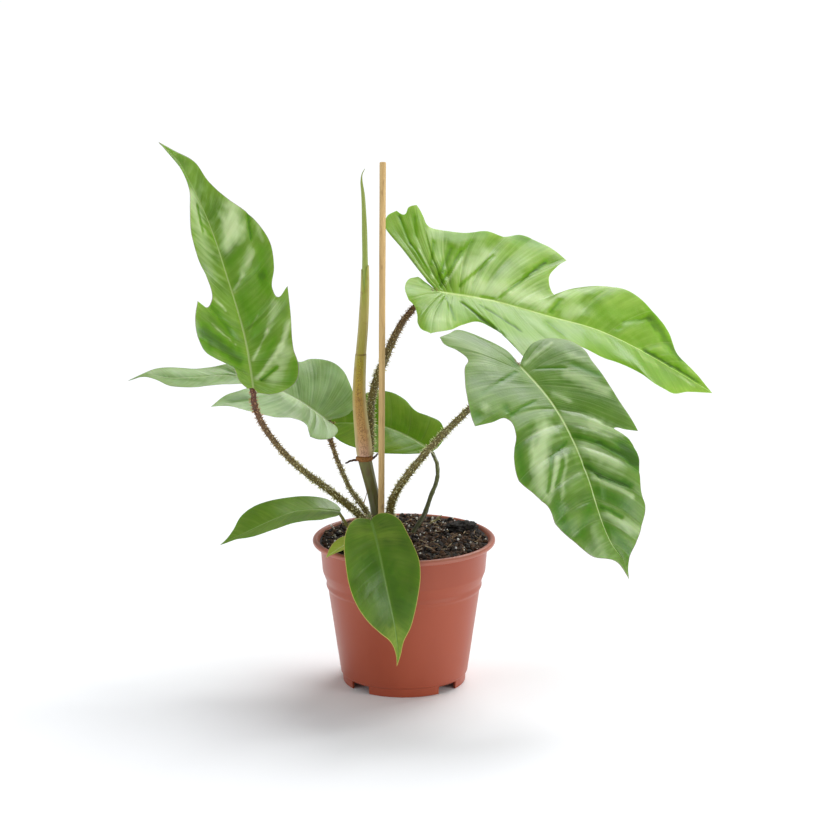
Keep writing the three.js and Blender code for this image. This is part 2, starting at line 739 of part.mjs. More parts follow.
// The stalk runs from the stem to a seat just behind the blade, where it meets the midrib.
function makeStalk(name, leaf) {
  const { joint, along, face } = leafFrame(leaf);
  const [footRadius, middleRadius, topRadius] = leaf.stalkRadius;
  const { point, direction, height } = leaf.stalkFrom;
  const path = [];
  if (point) {
    path.push(vector(point));
  } else {
    const outward = new THREE.Vector3(direction[0], direction[1], 0).normalize();
    const onRing = height > CROWN_TOP;
    const centre = onRing ? RING.clone().setZ(height) : new THREE.Vector3(CROWN.x, CROWN.y, height);
    const bodyRadius = onRing ? RING_RADIUS : CROWN_RADIUS;
    const straightStart = 2.5;
    path.push(centre.clone().addScaledVector(outward, bodyRadius + GAP));
    path.push(centre.clone().addScaledVector(outward, bodyRadius + GAP + straightStart));
  }
  path.push(...leaf.stalk.map(vector));
  const behind = topRadius + BLADE_THICKNESS / 2 + GAP;
  for (const seat of STALK_SEAT) {
    path.push(joint.clone().addScaledVector(face, -behind).addScaledVector(along, seat));
  }
  const radiusAt = (t) => between([[0, footRadius], [0.5, middleRadius], [1, topRadius]], t);
  addPiece(`stalk_${name}`, taperedRod(path, radiusAt, 14, 12), FINISH.stalk);
}

makePot();
makeSoil();
makeBark();
makeStake();
makeStem();
for (const [name, leaf] of Object.entries(LEAVES)) {
  makeStalk(name, leaf);
  makeBlade(name, leaf);
}

export default plant;
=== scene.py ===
# %% [markdown]
# # A young climbing philodendron in its nursery pot
# This lesson builds one potted plant in Blender, piece by piece: a moulded pot, loose potting
# soil, a round wooden stake, bristly leaf stalks, and eight lobed or heart-shaped leaves. Every
# piece is modelled in the frame of a imported CAD model, which is loaded first, and most pieces
# hide the CAD node that they stand for. The CAD gives the right places and sizes; Blender adds what
# the eye looks for, such as veins, bristles, soil crumbs and gloss.

import math

import bmesh
import bpy
import numpy as np
from mathutils import Matrix, Vector, noise


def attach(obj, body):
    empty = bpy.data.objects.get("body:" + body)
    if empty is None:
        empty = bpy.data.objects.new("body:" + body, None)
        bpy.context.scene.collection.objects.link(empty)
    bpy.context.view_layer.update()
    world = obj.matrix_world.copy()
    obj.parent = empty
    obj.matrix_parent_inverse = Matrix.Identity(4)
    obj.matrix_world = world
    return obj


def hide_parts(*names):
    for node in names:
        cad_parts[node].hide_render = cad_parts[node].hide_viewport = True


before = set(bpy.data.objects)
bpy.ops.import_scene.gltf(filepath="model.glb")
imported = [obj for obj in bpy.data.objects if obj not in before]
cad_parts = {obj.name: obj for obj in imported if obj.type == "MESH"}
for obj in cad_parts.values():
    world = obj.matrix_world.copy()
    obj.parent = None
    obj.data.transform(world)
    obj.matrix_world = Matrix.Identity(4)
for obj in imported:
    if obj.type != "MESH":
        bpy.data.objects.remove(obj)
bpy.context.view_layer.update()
MM = 0.001

# %% [markdown]
# ## Camera
# The picture was taken with a long lens from a little above. Its angle and distance were solved
# from the ellipses of the pot's lip and foot and the distance between them. The lens is given as a
# focal length, and not as a field of view, because it follows directly from the solved focal
# distance in pixels.

# %% Camera at the photograph's angle
PHOTO_SIDE = 840
FOCAL_PIXELS = 2357
PITCH_DOWN = 12.8
CAMERA_PLACE = (0.0149, -2.1170, 0.7302)


def in_scene(name, data):
    """A new object made of some data, put in the scene."""
    made = bpy.data.objects.new(name, data)
    bpy.context.scene.collection.objects.link(made)
    return made


camera = in_scene("photo_camera", bpy.data.cameras.new("photo_camera"))
camera.data.sensor_width = 36
camera.data.lens = FOCAL_PIXELS / PHOTO_SIDE * camera.data.sensor_width
camera.location = CAMERA_PLACE
camera.rotation_euler = (math.radians(90 - PITCH_DOWN), 0, 0)
bpy.context.scene.camera = camera
print("lens:", round(camera.data.lens, 1), "mm")

# %% [markdown]
# ## Light and floor
# A studio shot of a plant on white is lit by large soft lights, which leave broad pale reflections
# on the leaves. One could light it with an HDR picture; a wide key light, two soft boxes and an
# even pale sky do the same with nothing to load. The key comes from above, behind on the right:
# it makes thin leaves glow and throws the shadow to the front and left. The soft boxes stand in
# front, a strong one on the right and a weak one on the left.

# %% Key light, soft boxes and sky
KEY_WAY = (0.45, 0.6, 1.0)
KEY_WIDTH = 42
MIDDLE = Vector((0, 0, 0.25))

key = in_scene("key_light", bpy.data.lights.new("key_light", "SUN"))
key.data.energy = 2.6
key.data.angle = math.radians(KEY_WIDTH)
key.rotation_euler = Vector(KEY_WAY).to_track_quat("Z", "Y").to_euler()
for name, place, size, watts in (
    ("right_soft_box", (1.8, -0.9, 0.5), 0.75, 14), ("left_soft_box", (-1.8, -1.0, 0.45), 0.8, 6.5),
):
    box = in_scene(name, bpy.data.lights.new(name, "AREA"))
    box.data.shape = "SQUARE"
    box.data.size = size
    box.data.energy = watts
    box.location = place
    box.rotation_euler = (MIDDLE - Vector(place)).to_track_quat("-Z", "Y").to_euler()

sky = bpy.data.worlds.new("pale_studio")
sky.use_nodes = True
sky.node_tree.nodes["Background"].inputs["Color"].default_value = (1, 1, 1, 1)
sky.node_tree.nodes["Background"].inputs["Strength"].default_value = 0.43
bpy.context.scene.world = sky
bpy.context.scene.view_settings.view_transform = "Standard"

# %% [markdown]
# ## Small helpers
# Colours are written as hex values, the way a paint chart gives them, and Blender wants them
# linear. Shader and geometry nodes are added by one function that also sets and links them. Much
# of a finish is colours laid over one another, each driven by something, so one loop does that.
# Meshes built from lists of points go through one function that makes the object, turns the faces
# outwards and keeps sharp edges sharp.

# %% Colours and nodes
def paint(code):
    """An sRGB hex colour as the linear values that sockets take."""
    parts = [int(code[i:i + 2], 16) / 255 for i in (1, 3, 5)]
    return (*[c / 12.92 if c <= 0.04045 else ((c + 0.055) / 1.055) ** 2.4 for c in parts], 1)


def fill(node, values):
    """Sets or links input sockets. A hex code is a colour, and a node stands for its output."""
    for socket, value in values.items():
        if isinstance(value, bpy.types.Node):
            value = next(output for output in value.outputs if output.enabled)
        if isinstance(value, bpy.types.NodeSocket):
            node.id_data.links.new(value, node.inputs[socket])
        else:
            hex_code = isinstance(value, str) and value.startswith("#")
            node.inputs[socket].default_value = paint(value) if hex_code else value


def add(tree, kind, values=None, **settings):
    """Adds a node. Settings are its own properties; values fill its input sockets."""
    node = tree.nodes.new(kind)
    for name, value in settings.items():
        setattr(node, name, value)
    fill(node, values or {})
    return node


def lay(tree, colour, layers):
    """Lays colours over a colour. A layer is what drives it, from where to where the driver
    counts, how much colour is laid at each end of that, and the colour."""
    for driver, start, end, first, last, over in layers:
        share = add(tree, "ShaderNodeMapRange", {0: driver, 1: start, 2: end, 3: first, 4: last})
        colour = add(tree, "ShaderNodeMix", {0: share, 6: colour, 7: over}, data_type="RGBA")
    return colour


def new_material(name):
    """A material with only a Principled shader, its node tree and that shader."""
    made = bpy.data.materials.new(name)
    made.use_nodes = True
    return made, made.node_tree, made.node_tree.nodes["Principled BSDF"]


# %% Meshes
def mesh_object(name, points, faces, values=None, outward=True, sharp_from=50):
    """A smooth-shaded object from points in millimetres, with one float attribute per value."""
    mesh = bpy.data.meshes.new(name)
    mesh.from_pydata([Vector(p) * MM for p in points], [], faces)
    for key, numbers in (values or {}).items():
        mesh.attributes.new(key, "FLOAT", "POINT").data.foreach_set("value", np.ravel(numbers))
    if outward:
        shape = bmesh.new()
        shape.from_mesh(mesh)
        bmesh.ops.recalc_face_normals(shape, faces=shape.faces)
        shape.to_mesh(mesh)
        shape.free()
    mesh.shade_smooth()
    mesh.set_sharp_from_angle(angle=math.radians(sharp_from))
    return in_scene(name, mesh)


def settle(piece, finish, slot, *nodes):
    """Gives a finished piece its material and hides the CAD nodes that it stands for. The slot is not used.
    """
    if finish:
        piece.data.materials.clear()
        piece.data.materials.append(finish)
    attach(piece, "root")
    if nodes:
        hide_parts(*nodes)
    print(piece.name, len(piece.data.polygons), "faces")


# %% Floor
FLOOR_REACH = 3e4

floor_paint, _, shader = new_material("matt_white_studio_floor")
fill(shader, {"Base Color": "#F9FBFE", "Roughness": 0.9})
corners = [(x * FLOOR_REACH, y * FLOOR_REACH, 0) for x, y in ((-1, -1), (1, -1), (1, 1), (-1, 1))]
floor = mesh_object("floor", corners, [(0, 1, 2, 3)], outward=False)
floor.data.materials.append(floor_paint)
print("floor laid")

# %% [markdown]
# ## Pot
# The pot is injection-moulded polypropylene: a thin tapered wall with a rolled lip, a collar, a
# small moulded ring under it, and feet with gaps that let water run out. A turned shape can be
# made with the Screw modifier, with Curve to Mesh, or by computing rings of points. Rings are used
# here, because the same list of radii and heights can then have all its corners softened, as a
# mould does. The gaps and the drain holes are cut afterwards with one Boolean.

# %% Softened outlines and turned shapes
def soften(corners, radius, steps=3):
    """The same outline with each inner corner replaced by a short curve."""
    corners = [Vector(corner) for corner in corners]
    outline = [corners[0]]
    for before, corner, after in zip(corners, corners[1:], corners[2:]):
        reach = min(radius, (corner - before).length * 0.45, (after - corner).length * 0.45)
        start = corner + (before - corner).normalized() * reach
        end = corner + (after - corner).normalized() * reach
        for k in range(steps + 1):
            t = k / steps
            outline.append(start * (1 - t) ** 2 + corner * 2 * t * (1 - t) + end * t * t)
    return [*outline, corners[-1]]


def capped_faces(rings, sides):
    """Faces over a stack of rings of points, with one point before them and one after."""
    last = 1 + (rings - 1) * sides
    faces = []
    for k in range(sides):
        after = (k + 1) % sides
        faces.append((0, 1 + after, 1 + k))
        for low in range(1, last, sides):
            faces.append((low + k, low + after, low + sides + after, low + sides + k))
        faces.append((last + k, last + after, last + sides))
    return faces


def turned(name, outline, sides):
    """Turns an outline that begins and ends on the axis about the upright axis."""
    angles = [math.tau * k / sides for k in range(sides)]
    rings = [(r * math.cos(a), r * math.sin(a), height) for r, height in outline[1:-1] for a in angles]
    points = [(0, 0, outline[0][1]), *rings, (0, 0, outline[-1][1])]
    return mesh_object(name, points, capped_faces(len(outline) - 2, sides))


# %% Pot body
POT_HEIGHT = 138
LIP_RADIUS = 85
FOOT_RADIUS = 57.5
RAISED_FLOOR = 8
CORNER_RADIUS = 1.4
POT_OUTLINE = [
    (0, 0), (30, 0), (36, RAISED_FLOOR), (FOOT_RADIUS - 2, RAISED_FLOOR), (FOOT_RADIUS - 2, 0),
    (FOOT_RADIUS, 0), (FOOT_RADIUS + 0.5, 8.5), (59.5, 9.2), (70.9, 89.5), (72.8, 92.5),
    (72.2, 97), (76, 107), (78, 133), (LIP_RADIUS - 1, 133), (LIP_RADIUS, 134.2),
    (LIP_RADIUS, POT_HEIGHT - 1.6), (LIP_RADIUS - 1.8, POT_HEIGHT), (81.2, POT_HEIGHT),
    (80, POT_HEIGHT - 1.2), (76.2, 131), (74.2, 107), (70.4, 96), (57.9, 10.5), (35, 10.5),
    (29, 2.5), (0, 2.5),
]
pot = turned("pot_body", soften(POT_OUTLINE, CORNER_RADIUS), 180)
print("pot outline:", len(POT_OUTLINE), "corners")

# %% Gaps between the feet, and drain holes
NOTCH = (12, 22, 15)
NOTCH_COUNT = 4
DRAIN_RADIUS = 4
DRAIN_DEPTH = 12
DRAIN_RING_RADIUS = 45
DRAIN_COUNT = 8


def around_axis(turn, radius, height):
    """Where something stands on a ring about the upright axis, turned to face outwards."""
    place = Matrix.Translation((radius * MM, 0, height * MM))
    return Matrix.Rotation(math.tau * turn, 4, "Z") @ place


cuts = bmesh.new()
size = Matrix.Diagonal(Vector(NOTCH) * MM).to_4x4()
for k in range(NOTCH_COUNT):
    place = around_axis((k + 0.5) / NOTCH_COUNT, FOOT_RADIUS, 0)
    bmesh.ops.create_cube(cuts, matrix=place @ size)
for k in range(DRAIN_COUNT):
    bmesh.ops.create_cone(
        cuts, cap_ends=True, segments=24, radius1=DRAIN_RADIUS * MM, radius2=DRAIN_RADIUS * MM,
        depth=DRAIN_DEPTH * MM, matrix=around_axis(k / DRAIN_COUNT, DRAIN_RING_RADIUS, RAISED_FLOOR),
    )
cutter = in_scene("pot_cuts", bpy.data.meshes.new("pot_cuts"))
cuts.to_mesh(cutter.data)
cuts.free()


def as_plain_mesh(piece):
    """Replaces a piece's mesh by its modifiers' result, and removes the modifiers."""
    seen = piece.evaluated_get(bpy.context.evaluated_depsgraph_get())
    result = bpy.data.meshes.new_from_object(seen)
    piece.modifiers.clear()
    piece.data = result
    return piece


boolean = pot.modifiers.new("feet_and_drains", "BOOLEAN")
boolean.object = cutter
boolean.operation = "DIFFERENCE"
as_plain_mesh(pot)
bpy.data.objects.remove(cutter)
pot.data.set_sharp_from_angle(angle=math.radians(38))
print("pot after cutting:", len(pot.data.polygons), "faces")

# %% [markdown]
# ### Moulded polypropylene
# Terracotta-coloured plastic has a satin skin. Its colour is even, with faint cloudy streaks along
# the flow of the plastic, and the surface carries a very fine orange peel, about 0.8 mm across,
# that breaks up reflections. The lip is painted paler, partly for wear where hands and trays rub it
# and partly as a painted highlight.

# %% Pot finish
LIP_WEAR_AND_HIGHLIGHT_SHARE = 0.35
PLASTIC_IOR = 1.49


def satin_plastic(name, main, cloud, lip_wear_and_highlight):
    made, tree, shader = new_material(name)
    place = add(tree, "ShaderNodeTexCoord").outputs["Object"]
    stretched = add(tree, "ShaderNodeMapping", {"Vector": place, "Scale": (1, 1, 0.3)})
    clouds = add(tree, "ShaderNodeTexNoise", {"Vector": stretched, "Scale": 28, "Detail": 3})
    body = add(tree, "ShaderNodeMix", {0: clouds, 6: main, 7: cloud}, data_type="RGBA")
    height = add(tree, "ShaderNodeSeparateXYZ", {0: place}).outputs["Z"]
    peel = add(tree, "ShaderNodeTexNoise", {"Vector": place, "Scale": 1200, "Detail": 1})
    # The lip is laid paler by height: partly wear, partly a painted highlight.
    fill(shader, {
        "Base Color": lay(tree, body, [(height, 0.1305, 0.135, 0, LIP_WEAR_AND_HIGHLIGHT_SHARE, lip_wear_and_highlight)]),
        "Roughness": add(tree, "ShaderNodeMapRange", {0: clouds, 1: 0.3, 2: 0.7, 3: 0.31, 4: 0.41}),
        "Normal": add(tree, "ShaderNodeBump", {"Height": peel, "Strength": 0.06, "Distance": 0.0003}),
        "IOR": PLASTIC_IOR,
    })
    return made


# The last colour is the paler lip: partly wear, partly a painted highlight.
pot_plastic = satin_plastic("moulded_terracotta_polypropylene", "#9F4529", "#A94E31", "#C88E7C")
settle(pot, pot_plastic, "pot", "pot")

# %% [markdown]
# ## Potting soil
# Peat-based soil is a heap of crumbs, with white perlite, bits of bark and pale root fibres. It
# could be one displaced surface, but a displaced surface looks like mud. Here a bumpy heap is only
# the ground, and Geometry Nodes scatter real crumbs over it. One tree makes all four kinds of
# grain, because they differ only in size, shape, number and finish.

# %% Heap of soil
SOIL_EDGE_RADIUS = 78.5
SOIL_EDGE_HEIGHT = 135.6
SOIL_DOME = 0.5
SOIL_REAR_RISE = 2.6
SOIL_SINK = 1.2
HEAP_RINGS = 34


def soil_height(x, y):
    """Height of the heap: a low dome with lumps of two sizes, rising a little to the rear."""
    reach = min(1, math.hypot(x, y) / SOIL_EDGE_RADIUS)
    lumps = 3.4 * noise.noise(Vector((x, y, 0)) / 15) + 2.4 * noise.noise(Vector((x, y, 9)) / 5)
    rear = SOIL_REAR_RISE * max(0, y / SOIL_EDGE_RADIUS)
    dome = SOIL_DOME * (1 - reach * reach)
    return SOIL_EDGE_HEIGHT + dome + lumps * (1 - reach ** 8) + rear - SOIL_SINK


heap_outline = [(0, 11), (57.4, 11), (70, 96), (73.8, 107), (75.8, 130.5), (77.8, 133.8)]
for ring in range(HEAP_RINGS + 2):
    heap_outline.append((SOIL_EDGE_RADIUS * (1 - ring / (HEAP_RINGS + 1)), SOIL_EDGE_HEIGHT))
heap = turned("soil_heap", heap_outline, 120)
for vertex in heap.data.vertices:
    x, y, z = vertex.co / MM
    if z > SOIL_EDGE_HEIGHT - 1:
        vertex.co.z = soil_height(x, y) * MM
print("heap top:", round(max(v.co.z for v in heap.data.vertices) / MM, 1), "mm")

# %% Trees and what they make
def geometry_tree(name, inputs):
    """An empty geometry tree with its inputs, given as name: kind, and what it is given."""
    tree = bpy.data.node_groups.new(name, "GeometryNodeTree")
    for label, kind in {"Geometry": "Geometry", **inputs, "Seed": "Int", "Finish": "Material"}.items():
        tree.interface.new_socket(label, in_out="INPUT", socket_type=f"NodeSocket{kind}")
    tree.interface.new_socket("Geometry", in_out="OUTPUT", socket_type="NodeSocketGeometry")
    return tree, add(tree, "NodeGroupInput").outputs


def random_turn(tree, tilt, low, high, seed):
    """A random rotation: tilted up to an angle either way, and turned between two angles."""
    less = add(tree, "ShaderNodeMath", {0: tilt, 1: -1}, operation="MULTIPLY")
    least = add(tree, "ShaderNodeCombineXYZ", {"X": less, "Y": less, "Z": low})
    most = add(tree, "ShaderNodeCombineXYZ", {"X": tilt, "Y": tilt, "Z": high})
    ends = {0: least, 1: most, "Seed": seed}
    turn = add(tree, "FunctionNodeRandomValue", ends, data_type="FLOAT_VECTOR")
    return add(tree, "FunctionNodeEulerToRotation", {0: turn})


def dented(tree, geometry, scale, depth):
    """The same geometry with each point pushed about by noise."""
    rough = add(tree, "ShaderNodeTexNoise", {"Scale": scale, "Detail": 1}).outputs["Color"]
    centred = add(tree, "ShaderNodeVectorMath", {0: rough, 1: (0.5,) * 3}, operation="SUBTRACT")
    push = add(tree, "ShaderNodeVectorMath", {0: centred, "Scale": depth}, operation="SCALE")
    return add(tree, "GeometryNodeSetPosition", {"Geometry": geometry, "Offset": push})


def grown(name, base, tree, **inputs):
    """A plain mesh of what a tree makes of a base mesh, with the tree's inputs given by name."""
    piece = in_scene(name, base.copy())
    modifier = piece.modifiers.new(name, "NODES")
    modifier.node_group = tree
    sockets = {item.name: item.identifier for item in tree.interface.items_tree if item.in_out == "INPUT"}
    for label, value in inputs.items():
        modifier[sockets[label.replace("_", " ")]] = value
    return as_plain_mesh(piece)


# %% Scattering tree
SOIL_LOWEST = 0.12
GRAIN_INPUTS = {"Stretch": "Vector", "Detail": "Int"} | dict.fromkeys((
    "Grains per square metre", "Smallest", "Largest", "Rarity of large ones", "Reach", "Lift",
    "Tumble", "Dents",
), "Float")


def scatter_tree():
    """Grains over the upward faces of a surface: each is a ball, stretched, turned and dented."""
    tree, given = geometry_tree("scattered_grains", GRAIN_INPUTS)
    upward = add(tree, "ShaderNodeSeparateXYZ", {0: add(tree, "GeometryNodeInputNormal")})
    facing_up = add(tree, "FunctionNodeCompare", {0: upward.outputs["Z"], 1: 0.5})
    position = add(tree, "GeometryNodeInputPosition")
    height = add(tree, "ShaderNodeSeparateXYZ", {0: position})
    on_top = add(tree, "FunctionNodeCompare", {0: height.outputs["Z"], 1: SOIL_LOWEST})
    flat = add(tree, "ShaderNodeVectorMath", {0: position, 1: (1, 1, 0)}, operation="MULTIPLY")
    off_axis = add(tree, "ShaderNodeVectorMath", {0: flat}, operation="LENGTH")
    within = add(tree, "FunctionNodeCompare", {0: off_axis, 1: given["Reach"]}, operation="LESS_THAN")
    chosen = add(tree, "FunctionNodeBooleanMath", {0: facing_up, 1: on_top})
    inside = add(tree, "FunctionNodeBooleanMath", {0: chosen, 1: within})
    spots = add(
        tree, "GeometryNodeDistributePointsOnFaces",
        {"Mesh": given["Geometry"], "Selection": inside, "Density": given["Grains per square metre"],
         "Seed": given["Seed"]},
    )
    lift = add(tree, "ShaderNodeCombineXYZ", {"Z": given["Lift"]})
    raised = add(tree, "GeometryNodeSetPosition", {"Geometry": spots, "Offset": lift})
    ball = add(tree, "GeometryNodeMeshIcoSphere", {"Radius": 0.5, "Subdivisions": given["Detail"]})
    draw = add(tree, "FunctionNodeRandomValue", {2: 0.0, 3: 1.0, "Seed": given["Seed"]})
    rarity = given["Rarity of large ones"]
    rare = add(tree, "ShaderNodeMath", {0: draw, 1: rarity}, operation="POWER")
    size = add(tree, "ShaderNodeMapRange", {0: rare, 3: given["Smallest"], 4: given["Largest"]})
    scale = add(tree, "ShaderNodeVectorMath", {0: given["Stretch"], "Scale": size}, operation="SCALE")
    grains = add(
        tree, "GeometryNodeInstanceOnPoints",
        {"Points": raised, "Instance": ball, "Scale": scale,
         "Rotation": random_turn(tree, given["Tumble"], -math.pi, math.pi, 5)},
    )
    tone = add(tree, "FunctionNodeRandomValue", {2: 0.0, 3: 1.0, "Seed": 8})
    kept = {"Geometry": grains, "Name": "tone", "Value": tone}
    toned = add(tree, "GeometryNodeStoreNamedAttribute", kept, domain="INSTANCE")
    real = add(tree, "GeometryNodeRealizeInstances", {0: toned})
    lumpy = dented(tree, real, 700, given["Dents"])
    finished = add(tree, "GeometryNodeSetMaterial", {"Geometry": lumpy, "Material": given["Finish"]})
    add(tree, "NodeGroupOutput", {0: finished})
    return tree


grain_tree = scatter_tree()
print("tree nodes:", len(grain_tree.nodes))

# %% [markdown]
# ### Peat, perlite, bark and fibre
# Damp peat is almost black-brown and dull, with a little shine where it is wet. Perlite is a white
# puffed glass, bark chips are reddish brown, and root fibres are straw-coloured. Each grain carries
# a random tone from the tree, which picks a place between two colours.

# %% Grain finishes
def grain_finish(name, dark, light, roughness, shine=0.5):
    made, tree, shader = new_material(name)
    tone = add(tree, "ShaderNodeAttribute", attribute_name="tone").outputs["Fac"]
    place = add(tree, "ShaderNodeTexCoord").outputs["Object"]
    specks = add(tree, "ShaderNodeTexNoise", {"Vector": place, "Scale": 900, "Detail": 4})
    product = add(tree, "ShaderNodeMath", {0: tone, 1: specks}, operation="MULTIPLY")
    fill(shader, {
        "Base Color": lay(tree, dark, [(product, 0.14, 0.62, 0, 1, light)]),
        "Normal": add(tree, "ShaderNodeBump", {"Height": specks, "Strength": 0.6, "Distance": 0.0006}),
        "Roughness": roughness,
        "Specular IOR Level": shine,
    })
    return made


peat = grain_finish("damp_peat", "#170D08", "#6C4B32", 0.7, 0.45)
perlite = grain_finish("white_perlite", "#D8D2C8", "#FFFFFF", 0.85)
bark = grain_finish("bark_chips", "#2A1710", "#85603F", 0.8)
fibre = grain_finish("straw_coloured_root_fibre", "#8A6C4C", "#E6D2AE", 0.7)
settle(heap, peat, "soil", "potting_soil")

# %% Scattered grains
GRAINS = {
    "soil_crumbs": ("soil", peat, {
        "Grains_per_square_metre": 115000.0, "Smallest": 0.0015, "Largest": 0.0072, "Detail": 2,
        "Rarity_of_large_ones": 2.2, "Reach": 0.0762, "Stretch": (1.15, 0.9, 0.8), "Tumble": 3.1,
        "Dents": 0.0028, "Seed": 11,
    }),
    "bark_chips": ("bark", bark, {
        "Grains_per_square_metre": 16000.0, "Smallest": 0.003, "Largest": 0.0095, "Detail": 2,
        "Rarity_of_large_ones": 1.6, "Reach": 0.0745, "Stretch": (1.2, 0.55, 0.22), "Tumble": 0.9,
        "Dents": 0.0022, "Seed": 3, "Lift": 0.0008,
    }),
    "perlite_grains": ("soil", perlite, {
        "Grains_per_square_metre": 6500.0, "Smallest": 0.0011, "Largest": 0.003, "Detail": 1,
        "Rarity_of_large_ones": 1.5, "Reach": 0.0765, "Stretch": (1, 0.9, 0.85), "Tumble": 3.1,
        "Dents": 0.0007, "Seed": 7, "Lift": 0.0031,
    }),
    "root_fibres": ("soil", fibre, {
        "Grains_per_square_metre": 11000.0, "Smallest": 0.003, "Largest": 0.010, "Detail": 2,
        "Rarity_of_large_ones": 1.3, "Reach": 0.0735, "Stretch": (1, 0.1, 0.08), "Tumble": 0.5,
        "Dents": 0.0016, "Seed": 21, "Lift": 0.003,
    }),
}
for name, (slot, finish, inputs) in GRAINS.items():
    settle(grown(name, heap.data, grain_tree, Finish=finish, **inputs), None, slot)

# %% [markdown]
# ### Bark lump
# A charred-looking lump of bark lies near the pot's right side. It is a ball that was squashed,
# turned, and broken up by noise of three sizes, so that its outline is ragged.

# %% Bark lump
LUMP_CENTRE = Vector((54.5, 30, 137))
LUMP_HALF_SIZE = Matrix.Diagonal((15.5, 14, 7.5))
LUMP_TURN = Matrix.Rotation(0.25, 3, "Z")

ball = bmesh.new()
bmesh.ops.create_icosphere(ball, subdivisions=5, radius=1)
lump_points = []
for vertex in ball.verts:
    way = vertex.co.normalized()
    coarse = 0.34 * noise.noise(way * 2.1 + Vector((3, 1, 7)))
    fine = 0.22 * abs(noise.noise(way * 6)) + 0.1 * noise.noise(way * 15)
    lump_points.append(LUMP_TURN @ LUMP_HALF_SIZE @ way * (1 + coarse - fine) + LUMP_CENTRE)
ball.verts.index_update()
lump_faces = [[vertex.index for vertex in face.verts] for face in ball.faces]
ball.free()
tones = [0.35 + 0.4 * noise.noise(point / 3) for point in lump_points]
lump = mesh_object("bark_lump", lump_points, lump_faces, {"tone": tones})
charred = grain_finish("dark_weathered_bark", "#0E0908", "#3E2E24", 0.85)
settle(lump, charred, "bark", "bark_piece")

# %% [markdown]
# ## Round pieces along a path
# The stake, the stem, the roots, the sheath and the rolled leaf are all round in section and
# change in width along a path. A curve with a bevel would be quick, but it gives no control over
# what happens round the section. Rings of points do, so each of these pieces can have its own
# ridges, dents and lips, and stores how far along and how far round each point is.

# %% Smooth paths and rods
STEPS_PER_STRETCH = 24


def smooth_path(points, count):
    """Evenly spaced points on a centripetal Catmull-Rom curve through the given ones."""
    points = [Vector(point) for point in points]
    points = [points[0] * 2 - points[1], *points, points[-1] * 2 - points[-2]]
    fine = []
    for p0, p1, p2, p3 in zip(points, points[1:], points[2:], points[3:]):
        t1 = (p1 - p0).length ** 0.5
        t2 = t1 + (p2 - p1).length ** 0.5
        t3 = t2 + (p3 - p2).length ** 0.5
        for k in range(STEPS_PER_STRETCH):
            t = t1 + (t2 - t1) * k / STEPS_PER_STRETCH
            a = p0.lerp(p1, t / t1)
            b = p1.lerp(p2, (t - t1) / (t2 - t1))
            c = p2.lerp(p3, (t - t2) / (t3 - t2))
            fine.append(a.lerp(b, t / t2).lerp(b.lerp(c, (t - t1) / (t3 - t1)), (t - t1) / (t2 - t1)))
    fine = np.array([*fine, points[-2]])
    reach = np.concatenate([[0], np.cumsum(np.linalg.norm(np.diff(fine, axis=0), axis=1))])
    return at_places(np.linspace(0, reach[-1], count), reach, fine)


def at_places(places, reach, path):
    """Points of a path at some places, where `reach` says how far along each point of it lies."""
    return np.stack([np.interp(places, reach, path[:, axis]) for axis in range(3)], axis=1)


def rod(name, path, radius_at, sides=32):
    """A closed rod on evenly spaced points. radius_at(along, around) gives millimetres."""
    directions = np.gradient(path, axis=0)
    side = Vector((0, -1, 0)) if abs(directions[0][1]) < 0.8 else Vector((1, 0, 0))
    points, along, around = [Vector(path[0])], [0], [0]
    for i, (centre, direction) in enumerate(zip(path, directions)):
        forward = Vector(direction).normalized()
        side = (side - forward * side.dot(forward)).normalized()
        other = forward.cross(side)
        for j in range(sides):
            angle = math.tau * j / sides
            share = i / (len(path) - 1)
            offset = (side * math.cos(angle) + other * math.sin(angle)) * radius_at(share, j / sides)
            points.append(Vector(centre) + offset)
            along.append(share)
            around.append(abs(2 * j / sides - 1))
    values = {"along": [*along, 1], "around": [*around, 0]}
    return mesh_object(name, [*points, Vector(path[-1])], capped_faces(len(path), sides), values)


# %% [markdown]
# ## Stake
# The stake is a birch dowel, 5.8 mm thick, turned and then cut off square with the edge broken.
# It goes down through the soil almost to the floor of the pot.

# %% Stake
STAKE_RADIUS = 2.9
STAKE_FOOT = (-22, -14, 16)
STAKE_TOP = (-18.3, -14, 488.5)
STAKE_EDGE_FROM = 0.998
STAKE_EDGE = 0.5


def dowel_radius(along, around):
    """Round within a few hundredths, with its cut end's edge broken."""
    broken = STAKE_EDGE * max(0, (along - STAKE_EDGE_FROM) / (1 - STAKE_EDGE_FROM)) ** 2
    return STAKE_RADIUS * (1 + 0.012 * math.sin(along * 37 + 2)) - broken


stake = rod("birch_stake", smooth_path([STAKE_FOOT, STAKE_TOP], 700), dowel_radius, 36)
print("stake:", len(stake.data.vertices), "points")

# %% [markdown]
# ### Birch
# Birch is pale and close-grained. Its fibres run along the dowel as fine streaks, some tens of
# millimetres long and about a millimetre wide, with a few darker flecks. It was cut and never
# varnished, so it is quite rough.

